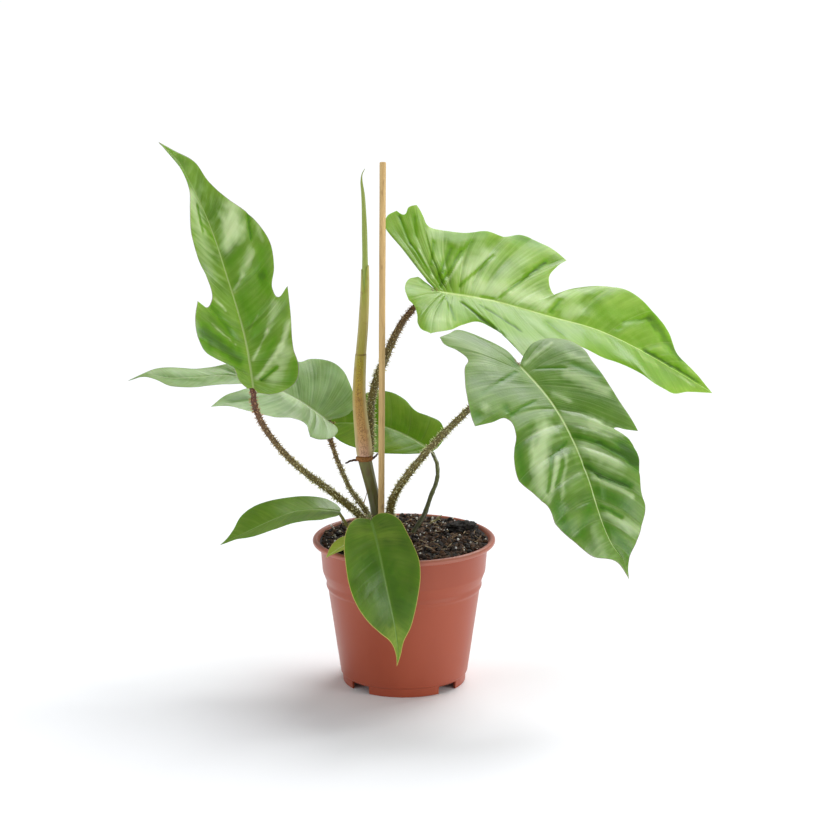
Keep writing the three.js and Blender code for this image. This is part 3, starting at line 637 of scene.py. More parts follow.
# %% Birch finish
def birch_finish():
    made, tree, shader = new_material("turned_birch_dowel")
    place = add(tree, "ShaderNodeTexCoord").outputs["Object"]
    fibres = add(tree, "ShaderNodeMapping", {"Vector": place, "Scale": (1, 1, 0.035)})
    grain = add(tree, "ShaderNodeTexNoise", {"Vector": fibres, "Scale": 1300, "Detail": 3})
    bands = add(tree, "ShaderNodeTexNoise", {"Vector": fibres, "Scale": 420, "Detail": 2})
    body = add(tree, "ShaderNodeMix", {0: bands, 6: "#B28A52", 7: "#E3C485"}, data_type="RGBA")
    short = add(tree, "ShaderNodeMapping", {"Vector": place, "Scale": (1, 1, 0.3)})
    flecks = add(tree, "ShaderNodeTexNoise", {"Vector": short, "Scale": 150, "Detail": 1})
    layers = [(grain, 0.56, 0.75, 0, 0.75, "#8C6234"), (flecks, 0.7, 0.78, 0, 0.6, "#6E4A28")]
    fill(shader, {
        "Base Color": lay(tree, body, layers),
        "Normal": add(tree, "ShaderNodeBump", {"Height": grain, "Strength": 0.35, "Distance": 0.0004}),
        "Roughness": 0.6,
    })
    return made


settle(stake, birch_finish(), "stake", "stake")

# %% [markdown]
# ## Stem, ring and roots
# Most leaf stalks spring from a short old stem in the soil. Above it, one longer stretch of stem
# leans left and ends in a corky ring, where the newest growth starts and two young aerial roots
# stick out. These are rods with scars, ridges and dents worked into their radius.

# %% Old stem
CROWN = (-22, 0)
CROWN_FOOT = 96.3
CROWN_END = 157.2
CROWN_PROFILE = [(96, 5), (108, 8), (124, 9.3), (148, 9.2), (154, 8), (157, 6)]


def profile(pairs, place):
    """The value at a place between listed (place, value) pairs."""
    return float(np.interp(place, *zip(*pairs)))


def on_round(around, radius, height):
    """A point on a round piece's skin, from which noise can be taken without a seam."""
    return Vector((radius * math.cos(math.tau * around), radius * math.sin(math.tau * around), height))


def crown_radius(along, around):
    height = CROWN_FOOT + along * (CROWN_END - CROWN_FOOT)
    scars = 0.5 * max(0, math.sin(height * 0.9 + 3 * math.sin(math.tau * around))) ** 6
    dents = 0.35 * noise.noise(on_round(around, 8, height) / 5)
    return profile(CROWN_PROFILE, height) - scars + dents - 0.3


crown_path = smooth_path([(*CROWN, CROWN_FOOT), (*CROWN, CROWN_END)], 90)
crown = rod("old_stem", crown_path, crown_radius, 48)
print("old stem:", len(crown.data.vertices), "points")

# %% Upper stem, ring, roots, fibre and sprout
STEM_PATH = [(-24.8, 0, 158), (-27.5, 0, 174), (-31.3, 0, 190), (-36.0, 0, 211)]
STEM_PROFILE = [(0, 5.2), (0.5, 5.5), (1, 6.2)]
RING = Vector((-36.5, 0, 213))
HALF_RING = Vector((0, 0, 3.2))


def stem_radius(along, around):
    return profile(STEM_PROFILE, along) + 0.22 * math.sin(math.tau * around * 7 + 4 * along)


def ring_radius(along, around):
    bulge = math.sqrt(max(0, 1 - (2 * along - 1) ** 2 * 0.75))
    return 8 * bulge + noise.noise(on_round(around, 4, along * 3))


def root_radius(along, around):
    return 1.25 - 0.5 * along + 0.14 * math.sin(along * 19 + math.tau * around)


def fibre_radius(along, around):
    return 0.5 - 0.25 * along


def sprout_radius(along, around):
    return 0.75 + 0.35 * math.sin(3.1 * along) - 0.45 * along ** 3


upper_stem = rod("upper_stem", smooth_path(STEM_PATH, 60), stem_radius, 42)
ring = rod("corky_ring", smooth_path([RING - HALF_RING, RING + HALF_RING], 24), ring_radius, 48)
left_path = smooth_path([(-42.5, -1, 211.8), (-49, -1.5, 210.9), (-54, -2, 208.5)], 24)
left_root = rod("left_aerial_root", left_path, root_radius, 14)
right_path = smooth_path([(-30, -1.2, 212.2), (-26.5, -1.6, 215), (-24, -2, 218)], 20)
right_root = rod("right_aerial_root", right_path, root_radius, 14)
fibre_path = smooth_path([(-37.5, -5.8, 171), (-35.2, -6.3, 178), (-33, -6.3, 187)], 24)
strand = rod("dry_fibre_strand", fibre_path, fibre_radius, 10)
sprout_path = smooth_path([(21, 43, 134), (26, 45, 139.5), (30, 46, 141), (35.5, 47, 146)], 30)
sprout = rod("pale_sprout", sprout_path, sprout_radius, 12)
print("rods:", [piece.name for piece in (upper_stem, ring, left_root, right_root, strand, sprout)])

# %% [markdown]
# ### Stem skin, cork and dried fibre
# The stem's skin is living tissue: dark green, smooth and a little shiny, with brown scars. The
# ring is cork, which is orange-brown, dull and pitted. The roots are darker, and the sprout is
# pale. One recipe makes them all.

# %% Stem and cork finishes
def plant_skin(name, low, high, spots, roughness, grain_mm, stretch, spotty, relief):
    """Living or dried plant skin: two colours from foot to top, spots, and fine relief."""
    made, tree, shader = new_material(name)
    place = add(tree, "ShaderNodeTexCoord").outputs["Object"]
    along = add(tree, "ShaderNodeAttribute", attribute_name="along").outputs["Fac"]
    body = add(tree, "ShaderNodeMix", {0: along, 6: low, 7: high}, data_type="RGBA")
    space = add(tree, "ShaderNodeMapping", {"Vector": place, "Scale": (1, 1, stretch)})
    grain = add(tree, "ShaderNodeTexNoise", {"Vector": space, "Scale": 1 / (grain_mm * MM), "Detail": 4})
    fill(shader, {
        "Base Color": lay(tree, body, [(grain, 0.45, 0.72, 0, spotty, spots)]),
        "Normal": add(tree, "ShaderNodeBump", {"Height": grain, "Strength": relief, "Distance": 0.0006}),
        "Roughness": roughness,
    })
    return made


green_stem = plant_skin("green_stem_skin", "#4D5225", "#6E6C34", "#5E4A28", 0.42, 2.4, 0.25, 0.7, 0.4)
old_stem_skin = plant_skin("old_stem_skin", "#3A2A1C", "#4E5230", "#2A1D14", 0.6, 2.0, 0.5, 0.8, 0.7)
cork = plant_skin("orange_brown_cork", "#96622C", "#A8743A", "#4A2A14", 0.85, 1.2, 1.0, 0.9, 0.9)
root_skin = plant_skin("aerial_root_skin", "#5A3A22", "#3A2418", "#2A1810", 0.7, 1.0, 1.0, 0.6, 0.6)
dry_skin = plant_skin("dried_bract_fibre", "#B89A68", "#8C6A40", "#5E4228", 0.8, 1.0, 0.2, 0.6, 0.5)
sprout_skin = plant_skin("pale_sprout_skin", "#CDBE92", "#6E7C38", "#7A5E3A", 0.5, 2.0, 1.0, 0.5, 0.4)
settle(crown, old_stem_skin, "stem", "stem_base")
settle(upper_stem, green_stem, "stem", "stem_internode")
settle(ring, cork, "root", "node_ring")
settle(left_root, root_skin, "root", "aerial_root_left")
settle(right_root, root_skin, "root", "aerial_root_right")
settle(strand, dry_skin, "sheath", "dried_fibre")
settle(sprout, sprout_skin, "young_leaf")

# %% [markdown]
# ## Sheath and rolled leaf
# A new leaf grows inside a papery sheath. The sheath is a long thin cone with two raised keels,
# pinkish cream at its foot and olive at its top, where it has split and the young leaf comes out,
# still rolled round itself like a scroll. Both follow one path. The sheath is a wall with an
# inside, made from two skins, and the leaf's edge shows as a spiral seam.

# %% New growth
SPEAR_PATH = [
    (-36.3, 0, 216), (-37.6, 0, 230), (-41, 0, 268), (-40, 0, 301), (-37, 0, 338),
    (-35.2, 0, 376), (-35.6, 0, 436), (-36.5, 0, 457), (-37.8, 0, 470), (-37.2, 0, 476),
    (-34.8, 0, 481),
]
SPEAR_FROM = 0.02
SHEATH_TO = 0.66
SHEATH_WALL = 0.35
SHEATH_SIDES = 72
SHEATH_ROWS = 120
SHEATH_RADIUS = [
    (0, 7), (0.04, 7.4), (0.135, 6.4), (0.235, 5.7), (0.32, 5.2), (0.354, 5), (0.362, 4.6),
    (0.49, 4.3), (0.61, 3.8), (0.7, 3.2),
]
ROLL_RADIUS = [
    (0, 3.4), (0.66, 3.3), (0.74, 2.8), (0.83, 2.3), (0.91, 1.8), (0.95, 1.2), (0.975, 0.6), (1, 0.25),
]
ROLL_CLEARANCE = 0.25
ROLL_TURNS = 1.1
ROLL_STEP = 0.14
KEELS = (0.25, 0.75)
KEEL_WIDTH = 0.025
SCAR_AT = 0.542
SPLIT_FROM = 0.8
SLIT_AT = 0.96
SLIT_WIDTH = 0.07
SLIT_DEPTH = 20
LIP_SLANT = 2

spear = smooth_path(SPEAR_PATH, 600)


def spear_part(first, last, count):
    """Evenly spaced points on the part of the spear's path between two shares of its length."""
    return at_places(np.linspace(first, last, count), np.linspace(0, 1, len(spear)), spear)


def near_turn(turn, centre, width):
    """One at a direction round the sheath, falling off to nothing on either side of it."""
    return math.exp(-(((turn - centre + 0.5) % 1 - 0.5) / width) ** 2)


def sheath_radius(along, around, wall):
    """Outer radius less the wall, with two keels, which fade upwards, and fine ribs."""
    base = profile(SHEATH_RADIUS, along * SHEATH_TO) - wall
    keel = 0.35 * sum(near_turn(around, centre, KEEL_WIDTH) for centre in KEELS) * (1 - 0.6 * along)
    return base + keel + 0.1 * math.sin(math.tau * around * 17)


def build_sheath():
    points, faces, along, around = [], [], [], []
    for wall in (0, SHEATH_WALL):
        for i, centre in enumerate(spear_part(0, SHEATH_TO, SHEATH_ROWS)):
            share = i / (SHEATH_ROWS - 1)
            split = max(0, share - SPLIT_FROM) / (1 - SPLIT_FROM)
            for j in range(SHEATH_SIDES):
                turn = j / SHEATH_SIDES
                angle = math.tau * turn
                slit = SLIT_DEPTH * near_turn(turn, SLIT_AT, SLIT_WIDTH)
                lift = Vector((0, 0, split * (LIP_SLANT * math.sin(angle) - slit)))
                outward = Vector((math.sin(angle), -math.cos(angle), 0))
                points.append(Vector(centre) + lift + outward * sheath_radius(share, turn, wall))
                along.append(share)
                around.append(abs(math.sin(angle)))
    skin = SHEATH_ROWS * SHEATH_SIDES
    top = skin - SHEATH_SIDES
    for j in range(SHEATH_SIDES):
        after = (j + 1) % SHEATH_SIDES
        for low in range(0, top, SHEATH_SIDES):
            quad = (low + j, low + after, low + SHEATH_SIDES + after, low + SHEATH_SIDES + j)
            faces += [quad, tuple(skin + corner for corner in reversed(quad))]
        faces.append((j, skin + j, skin + after, after))
        faces.append((top + j, top + after, skin + top + after, skin + top + j))
    return mesh_object("papery_sheath", points, faces, {"along": along, "around": around})


def roll_radius(along, around):
    """The rolled leaf: a free margin winds round it as a step in its radius."""
    place = SPEAR_FROM + along * (1 - SPEAR_FROM)
    inside = profile(SHEATH_RADIUS, place) - SHEATH_WALL - ROLL_CLEARANCE
    seam = (around + along * ROLL_TURNS) % 1
    return min(inside, profile(ROLL_RADIUS, place)) * (1 - ROLL_STEP * seam)


sheath = build_sheath()
roll = rod("rolled_new_leaf_scroll", spear_part(SPEAR_FROM, 1, 320), roll_radius, 40)
print("new growth:", [piece.name for piece in (sheath, roll)])

# %% [markdown]
# ### Papery sheath and rolled leaf
# The sheath is dead or dying skin, so it is thin, dull and fibrous, with long fine streaks. Its
# colour changes round it and along it, which the stored attributes drive. The rolled leaf is young
# tissue with a waxy bloom: smooth and light green.

# %% Sheath and scroll finishes
SHEATH_COLOURS = {
    0: "#D3A98E", 0.1: "#C79C64", 0.3: "#B99344", 0.5: "#A99D2A", 0.56: "#A39B40", 0.75: "#ADA456",
    1: "#98A73A",
}


def sheath_finish():
    made, tree, shader = new_material("papery_bract_sheath")
    along = add(tree, "ShaderNodeAttribute", attribute_name="along").outputs["Fac"]
    around = add(tree, "ShaderNodeAttribute", attribute_name="around").outputs["Fac"]
    place = add(tree, "ShaderNodeTexCoord").outputs["Object"]
    middle = add(tree, "ShaderNodeValToRGB", {0: along})
    stops = middle.color_ramp.elements
    for spot, (position, code) in enumerate(SHEATH_COLOURS.items()):
        stop = stops[spot] if spot < 2 else stops.new(position)
        stop.position = position
        stop.color = paint(code)
    space = add(tree, "ShaderNodeMapping", {"Vector": place, "Scale": (1, 1, 0.03)})
    fibres = add(tree, "ShaderNodeTexNoise", {"Vector": space, "Scale": 1100, "Detail": 3})
    blotch = add(tree, "ShaderNodeTexNoise", {"Vector": place, "Scale": 90, "Detail": 3})
    grains = add(tree, "ShaderNodeTexNoise", {"Vector": place, "Scale": 800, "Detail": 2})
    speck = add(tree, "ShaderNodeMapRange", {0: grains, 1: 0.48, 2: 0.62, 3: 0.0, 4: 0.6})
    in_middle = add(tree, "ShaderNodeMapRange", {0: around, 1: 0.25, 2: 0.7, 3: 1.0, 4: 0.0})
    below = add(tree, "ShaderNodeMapRange", {0: along, 1: SCAR_AT - 0.03, 2: SCAR_AT, 3: 1.0, 4: 0.0})
    area = add(tree, "ShaderNodeMath", {0: in_middle, 1: below}, operation="MULTIPLY")
    specks = add(tree, "ShaderNodeMath", {0: area, 1: speck}, operation="MULTIPLY")
    at_scar = add(tree, "ShaderNodeMath", {0: along, 1: SCAR_AT, 2: 0.005}, operation="COMPARE")
    broken = add(tree, "ShaderNodeMapRange", {0: blotch, 1: 0.42, 2: 0.6, 3: 0.1, 4: 0.8})
    scar = add(tree, "ShaderNodeMath", {0: at_scar, 1: broken}, operation="MULTIPLY")
    layers = [
        (around, 0.5, 0.9, 0, 0.8, "#C6BA82"), (fibres, 0.5, 0.8, 0, 0.6, "#7A5230"),
        (blotch, 0.58, 0.72, 0, 0.5, "#8A5A3A"), (specks, 0, 1, 0, 1, "#6E4A28"),
        (scar, 0, 1, 0, 1, "#5A3A1A"),
    ]
    fill(shader, {
        "Base Color": lay(tree, middle, layers),
        "Normal": add(tree, "ShaderNodeBump", {"Height": fibres, "Strength": 0.5, "Distance": 0.0005}),
        "Roughness": 0.55,
        "Specular IOR Level": 0.3,
    })
    return made


scroll_skin = plant_skin("waxy_rolled_leaf", "#92A643", "#8FA043", "#A9B866", 0.4, 3.0, 0.06, 0.5, 0.3)
settle(sheath, sheath_finish(), "sheath", "cataphyll_sheath")
settle(roll, scroll_skin, "young_leaf", "rolled_new_leaf")

# %% [markdown]
# ## Leaves and their stalks: sizes
# Each leaf lies in a frame of its own. It starts at the joint, where its stalk meets the blade.
# Its midrib runs to the tip, and its upper side looks towards `face`. The spine gives how far the
# midrib strays sideways, and each row of `veins` is one line across the blade: its place on the
# midrib, then where it meets the left margin and the right margin, each as along and across.
# All of these numbers, in millimetres, are the CAD model's own.

# %% Leaf table
LEAVES = {
    "upper_left": {
        "joint": [-136, -30, 286],
        "tip": [-223, 30, 502],
        "face": [0.44, -0.8, 0.4],
        "arch": 8,
        "fold": [18, 16],
        "twist": -0.25,
        "spine": [[0, 0], [39, 7], [109, 12], [140, 14], [188, 13], [221, 9], [240, 0]],
        "veins": [
            [0, 1, -7, -6, 3], [2, 10, -14, -11, 14], [5, 23, -16, -12, 27],
            [10, 33, -26, -8, 38], [16, 42, -41, 3, 44], [24, 57, -44, 20, 46],
            [34, 72, -42, 50, 55], [45, 87, -33, 77, 62], [52, 80, -23, 71, 48],
            [61, 85, -15, 78, 47], [76, 107, -11, 97, 56], [96, 124, -14, 124, 62],
            [120, 147, -12, 149, 56], [146, 170, -2, 171, 41], [170, 191, 9, 191, 30],
            [196, 212, 9, 214, 25], [222, 230, 3, 229, 11],
        ],
        "stalk": [[-42, -3, 160], [-68, -9, 184], [-103, -17, 215], [-127, -24, 248], [-136, -27, 272]],
        "stalk_from": {"direction": [-1, -0.1], "height": 149},
        "stalk_radius": [4.2, 3.2, 2.8],
    },
    "upper_right": {
        "joint": [31, 30, 364],
        "tip": [298, 115, 250],
        "face": [0.38, -0.52, 0.77],
        "arch": 14,
        "fold": [10, 10],
        "twist": 0,
        "spine": [[0, 0], [51, -5], [113, -7], [168, -12], [214, -9], [262, -3], [302, 0]],
        "veins": [
            [0, -9, -10, -10, -9], [0.6, -22, -25, -18, -15], [1.2, -36, -42, -25, -11],
            [2, -45, -55, -31, 3], [3, -52, -69, -31, 14], [4, -50, -80, -28, 21],
            [5, -43, -86, -24, 24], [6, -36, -82, -21, 38], [7, -33, -90, -22, 52],
            [8.5, -26, -94, -20, 63], [10, -19, -87, -14, 69], [12, -12, -76, -4, 64],
            [15, 3, -75, 8, 54], [19, 24, -76, 22, 39], [24, 42, -82, 37, 31],
            [30, 62, -84, 50, 38], [37, 82, -95, 64, 54], [45, 106, -91, 78, 73],
            [54, 129, -79, 98, 86], [62, 118, -66, 103, 68], [70, 110, -48, 107, 50],
            [80, 115, -37, 114, 36], [98, 142, -55, 135, 27], [122, 170, -67, 160, 25],
            [148, 195, -71, 185, 24], [176, 228, -62, 205, 29], [200, 249, -50, 222, 40],
            [224, 262, -28, 240, 37], [256, 280, -14, 268, 19],
        ],
        "stalk": [
            [-31, 11.5, 224], [-31, 14, 245], [-29, 16, 270], [-17, 21, 304], [-2, 25, 335],
            [14, 29, 354],
        ],
        "stalk_from": {"direction": [0.5, 0.87], "height": 212},
        "stalk_radius": [3.2, 4.3, 2.6],
    },
    "right": {
        "joint": [104, -50, 310],
        "tip": [198, -135, 137],
        "face": [0.45, -0.7, 0.556],
        "arch": 14,
        "fold": [8, 8],
        "twist": 0,
        "spine": [[0, 0], [41, -6], [78, -5], [126, 1], [160, 6], [182, 5], [199, -1], [214, 0]],
        "veins": [
            [0, -5, -6, -6, 0], [0.8, -12, -16, -18, -1], [1.6, -17, -27, -32, 5],
            [2.5, -18, -37, -46, 19], [3.5, -17, -46, -54, 33], [5, -14, -54, -52, 45],
            [6.5, -9, -62, -51, 57], [8, -2, -67, -44, 58], [10, 6, -70, -32, 49],
            [12, 18, -69, -21, 46], [15, 32, -69, -15, 54], [19, 48, -69, -5, 62],
            [24, 64, -69, 9, 72], [30, 82, -69, 28, 82], [38, 97, -69, 44, 88],
            [44, 91, -58, 45, 69], [51, 86, -51, 47, 50], [60, 101, -59, 62, 53],
            [72, 118, -59, 84, 68], [87, 132, -51, 103, 73], [103, 147, -44, 119, 66],
            [120, 162, -43, 134, 58], [139, 176, -33, 148, 57], [158, 187, -21, 164, 46],
            [178, 197, -9, 184, 33], [198, 206, -3, 199, 6],
        ],
        "stalk": [[-13, -5, 163], [-7, -12, 184], [24, -27, 229], [61, -40, 270], [87, -46, 297]],
        "stalk_from": {"direction": [0.96, -0.27], "height": 148},
        "stalk_radius": [4.2, 3.4, 2.9],
    },
    "far_left": {
        "joint": [-73, 60, 235],
        "tip": [-258, 40, 278],
        "face": [0, -0.6, 0.8],
        "arch": 10,
        "fold": [18, 10],
        "twist": -0.4,
        "spine": [[0, 0], [29, 13], [59, 20], [98, 23], [126, 14], [153, 8], [176, 8], [191, 0]],
        "veins": [
            [0, -5, -1, -4, 3], [0.8, -9, -4, -13, 9], [1.6, -11, -9, -21, 17],
            [2.5, -9, -18, -25, 27], [4, -5, -25, -21, 39], [6, 2, -31, -16, 48],
            [9, 10, -36, -9, 58], [12, 17, -38, 2, 65], [15, 19, -32, 14, 67],
            [18, 22, -23, 24, 65], [23, 34, -23, 34, 58], [30, 54, -34, 50, 64],
            [38, 78, -40, 66, 71], [46, 98, -43, 80, 74], [53, 115, -52, 79, 60],
            [60, 101, -22, 81, 48], [68, 88, -5, 92, 42], [76, 80, 9, 102, 37],
            [88, 98, 5, 114, 31], [102, 118, -4, 130, 26], [120, 136, -13, 145, 25],
            [140, 152, -11, 157, 23], [158, 166, 0, 168, 19], [174, 178, 5, 178, 11],
        ],
        "stalk": [[-38, 15, 162], [-50, 26, 176], [-59, 38, 192], [-67, 50, 210], [-71, 59, 224]],
        "stalk_from": {"direction": [-0.6, 0.8], "height": 147},
        "stalk_radius": [3.2, 2.5, 2.3],
    },
    "back": {
        "joint": [27, 70, 203],
        "tip": [-84, 105, 221],
        "face": [0.1, -0.6, 0.8],
        "arch": 6,
        "fold": [8, 8],
        "twist": 0,
        "spine": [[0, 0], [25, 7], [49, 11], [92, 6], [118, 0]],
        "veins": [
            [0, 3, -3, -3, 5], [2, 10, -9, -5, 15], [5, 19, -15, -3, 25], [9, 29, -20, 3, 33],
            [15, 40, -24, 15, 36], [23, 51, -27, 29, 38], [34, 63, -28, 46, 48],
            [47, 75, -25, 64, 52], [63, 86, -20, 80, 47], [82, 98, -12, 94, 32],
            [101, 109, -5, 107, 14],
        ],
        "stalk": [[6.8, 9.6, 135], [19, 20, 154], [25, 32, 168], [31, 46, 181], [31, 60, 193]],
        "stalk_from": {"point": [5, 8, 119]},
        "stalk_radius": [2.8, 2.4, 2],
    },
    "lower_left": {
        "joint": [-59, -8, 164],
        "tip": [-168, -40, 141],
        "face": [-0.1, -0.35, 0.93],
        "arch": 9,
        "fold": [14, 10],
        "twist": 0,
        "spine": [[0, 0], [16, 5], [38, 8], [61, 4], [88, 0], [116, 0]],
        "veins": [
            [0, 0, -3, -2, 4], [2, 5, -11, 0, 12], [5, 13, -17, 6, 19], [10, 23, -21, 17, 24],
            [18, 36, -18, 30, 27], [28, 50, -16, 45, 29], [42, 65, -17, 61, 29],
            [58, 79, -16, 76, 27], [75, 92, -11, 89, 21], [92, 102, -4, 100, 10],
            [105, 110, -2, 109, 3],
        ],
        "stalk": [[-40, -8, 141], [-51, -8.5, 149]],
        "stalk_from": {"direction": [-0.8, -0.6], "height": 138},
        "stalk_radius": [2.2, 1.9, 1.7],
    },
    "front": {
        "joint": [-29, -72, 173],
        "tip": [-6, -104, 46],
        "face": [0.25, -0.88, 0.4],
        "arch": 14,
        "fold": [10, 10],
        "twist": 0,
        "spine": [[0, 0], [59, 0], [104, -2], [121, -2], [133, 0]],
        "veins": [
            [0, -3, -3, -2, 3], [1.5, -5, -10, -4, 11], [4, -3, -18, -1, 20],
            [8, 4, -25, 7, 27], [13, 15, -28, 19, 32], [20, 28, -31, 33, 34],
            [29, 42, -33, 47, 35], [41, 57, -31, 61, 34], [55, 71, -27, 75, 30],
            [71, 86, -22, 88, 23], [88, 100, -16, 100, 13], [106, 112, -8, 110, 4],
            [121, 124, -4, 123, 0],
        ],
        "stalk": [[-31, -14, 149], [-33, -26, 158], [-32, -48, 165]],
        "stalk_from": {"direction": [-0.45, -0.9], "height": 142},
        "stalk_radius": [2.4, 2.1, 1.9],
    },
    "small": {
        "joint": [-33, -36, 148],
        "tip": [-70, -72, 138],
        "face": [-0.3, -0.3, 0.9],
        "arch": 3,
        "fold": [8, 8],
        "twist": 0,
        "spine": [[0, 0], [53, 0]],
        "veins": [
            [0, 1, -4, 0, 4], [4, 10, -10, 8, 11], [12, 21, -13, 19, 14], [24, 33, -10, 31, 12],
            [38, 44, -4, 43, 6],
        ],
        "stalk": [[-31, -14, 139], [-32, -25, 143.5]],
        "stalk_from": {"direction": [-0.5, -0.87], "height": 136},
        "stalk_radius": [1.7, 1.5, 1.3],
    },
}
print("leaves:", list(LEAVES))

# %% [markdown]
# ## Bristly stalks
# The stalks are the plant's most striking feature: round, brownish stems covered with soft fleshy
# bristles about 2 mm long. Hundreds of bristles follow a surface, which is what Geometry Nodes are
# for. One tree turns a line of points into a tapering tube and plants cones all over it, each
# turned and sized at random. The attributes `along` and `tip` are stored for the finish.

# %% Bristly stalk tree
STALK_INPUTS = dict.fromkeys((
    "Foot radius", "Middle radius", "Top radius", "Bristles per square metre", "Bristle length",
    "Bristle radius", "Lean",
), "Float")


def stalk_tree():
    tree, given = geometry_tree("bristly_stalk", STALK_INPUTS)
    line = add(tree, "GeometryNodeMeshToCurve", {"Mesh": given["Geometry"]})
    along = add(tree, "GeometryNodeSplineParameter")
    kept = {"Geometry": line, "Name": "along", "Value": along}
    marked = add(tree, "GeometryNodeStoreNamedAttribute", kept)
    foot, middle, top = (given[f"{part} radius"] for part in ("Foot", "Middle", "Top"))
    lower = add(tree, "ShaderNodeMapRange", {0: along, 1: 0.0, 2: 0.5, 3: foot, 4: middle})
    change = add(tree, "ShaderNodeMath", {0: top, 1: middle}, operation="SUBTRACT")
    upper = add(tree, "ShaderNodeMapRange", {0: along, 1: 0.5, 2: 1.0, 3: 0.0, 4: change})
    radius = add(tree, "ShaderNodeMath", {0: lower, 1: upper})
    ring = add(tree, "GeometryNodeCurvePrimitiveCircle", {"Resolution": 24, "Radius": 1.0})
    swept = {"Curve": marked, "Profile Curve": ring, "Scale": radius, "Fill Caps": True}
    uneven = dented(tree, add(tree, "GeometryNodeCurveToMesh", swept), 260, 0.0012)
    density = given["Bristles per square metre"]
    sown = {"Mesh": uneven, "Density": density, "Seed": given["Seed"]}
    spots = add(tree, "GeometryNodeDistributePointsOnFaces", sown)
    cone = add(
        tree, "GeometryNodeMeshCone",
        {"Vertices": 5, "Side Segments": 2, "Radius Top": 0.00005,
         "Radius Bottom": given["Bristle radius"], "Depth": given["Bristle length"]},
    )
    height = add(tree, "ShaderNodeSeparateXYZ", {0: add(tree, "GeometryNodeInputPosition")})
    over_length = {0: height.outputs["Z"], 1: given["Bristle length"]}
    part = add(tree, "ShaderNodeMath", over_length, operation="DIVIDE")
    kept = {"Geometry": cone, "Name": "tip", "Value": part}
    bristle = add(tree, "GeometryNodeStoreNamedAttribute", kept)
    lean = random_turn(tree, given["Lean"], 0, math.tau, 4)
    leaning = {"Rotation": spots.outputs["Rotation"], "Rotate By": lean}
    turned_by = add(tree, "FunctionNodeRotateRotation", leaning, rotation_space="LOCAL")
    size = add(tree, "FunctionNodeRandomValue", {2: 0.45, 3: 1.15, "Seed": 9})
    planted = add(
        tree, "GeometryNodeInstanceOnPoints",
        {"Points": spots, "Instance": bristle, "Rotation": turned_by, "Scale": size},
    )
    both = add(tree, "GeometryNodeJoinGeometry", {0: planted})
    fill(both, {0: uneven})
    real = add(tree, "GeometryNodeRealizeInstances", {0: both})
    smooth = add(tree, "GeometryNodeSetShadeSmooth", {0: real})
    finished = add(tree, "GeometryNodeSetMaterial", {"Geometry": smooth, "Material": given["Finish"]})
    add(tree, "NodeGroupOutput", {0: finished})
    return tree


bristly = stalk_tree()
print("stalk tree:", len(bristly.nodes), "nodes")

# %% [markdown]
# ### Stalk skin
# The skin is olive near the stem and red-brown near the blade, with short dark streaks. Bristles
# start in the stalk's colour and end pale and straw-coloured, so lit ones show as a pale fringe.

# %% Stalk finishes
def stalk_skin(name, low, high, low_tip, high_tip, roughness):
    made, tree, shader = new_material(name)
    place = add(tree, "ShaderNodeTexCoord").outputs["Object"]
    path = add(tree, "ShaderNodeAttribute", attribute_name="along").outputs["Fac"]
    along = add(tree, "ShaderNodeMapRange", {0: path, 1: 0.45, 2: 0.95})
    tip = add(tree, "ShaderNodeAttribute", attribute_name="tip").outputs["Fac"]
    body = add(tree, "ShaderNodeMix", {0: along, 6: low, 7: high}, data_type="RGBA")
    fringe = add(tree, "ShaderNodeMix", {0: along, 6: low_tip, 7: high_tip}, data_type="RGBA")
    streaks = add(tree, "ShaderNodeTexNoise", {"Vector": place, "Scale": 420, "Detail": 3})
    layers = [(streaks, 0.4, 0.7, 0, 0.6, "#241A0F"), (tip, 0, 0.38, 0, 1, fringe)]
    fill(shader, {
        "Base Color": lay(tree, body, layers),
        "Normal": add(tree, "ShaderNodeBump", {"Height": streaks, "Strength": 0.4, "Distance": 0.0005}),
        "Roughness": roughness,
    })
    return made


bristly_skin = stalk_skin("bristly_red_brown_stalk", "#786C2E", "#693B25", "#F0EEB8", "#C08A60", 0.5)
olive_skin = stalk_skin("bristly_olive_stalk", "#786C2E", "#74642F", "#F0EEB8", "#DCD096", 0.5)
smooth_skin = stalk_skin("smooth_olive_stalk", "#50532A", "#666A34", "#B4B47C", "#B4A070", 0.4)
yellow_skin = stalk_skin("smooth_yellow_olive_stalk", "#8C8C40", "#94903E", "#B4B47C", "#B4A070", 0.4)
print("stalk skins:", [m.name for m in (bristly_skin, olive_skin, smooth_skin, yellow_skin)])

# %% Where a leaf and its stalk run
CROWN_TOP = 157.5
CROWN_RADIUS = 9.3
RING_RADIUS = 7
JOIN_GAP = 0.3
STALK_START = -1.5
STALK_CLEAR = 2.5
SEAT = (-5, 1)
STEEP_SEAT = (0.5,)
STEEP_STALKS = ("back", "lower_left")
BLADE_BACK = 0.5


def leaf_frame(leaf):
    """Joint, directions along, across and out of the blade's upper side, and its length."""
    joint = Vector(leaf["joint"])
    reach = Vector(leaf["tip"]) - joint
    along = reach.normalized()
    face = Vector(leaf["face"])
    face = (face - along * face.dot(along)).normalized()
    return joint, along, along.cross(face), face, reach.length


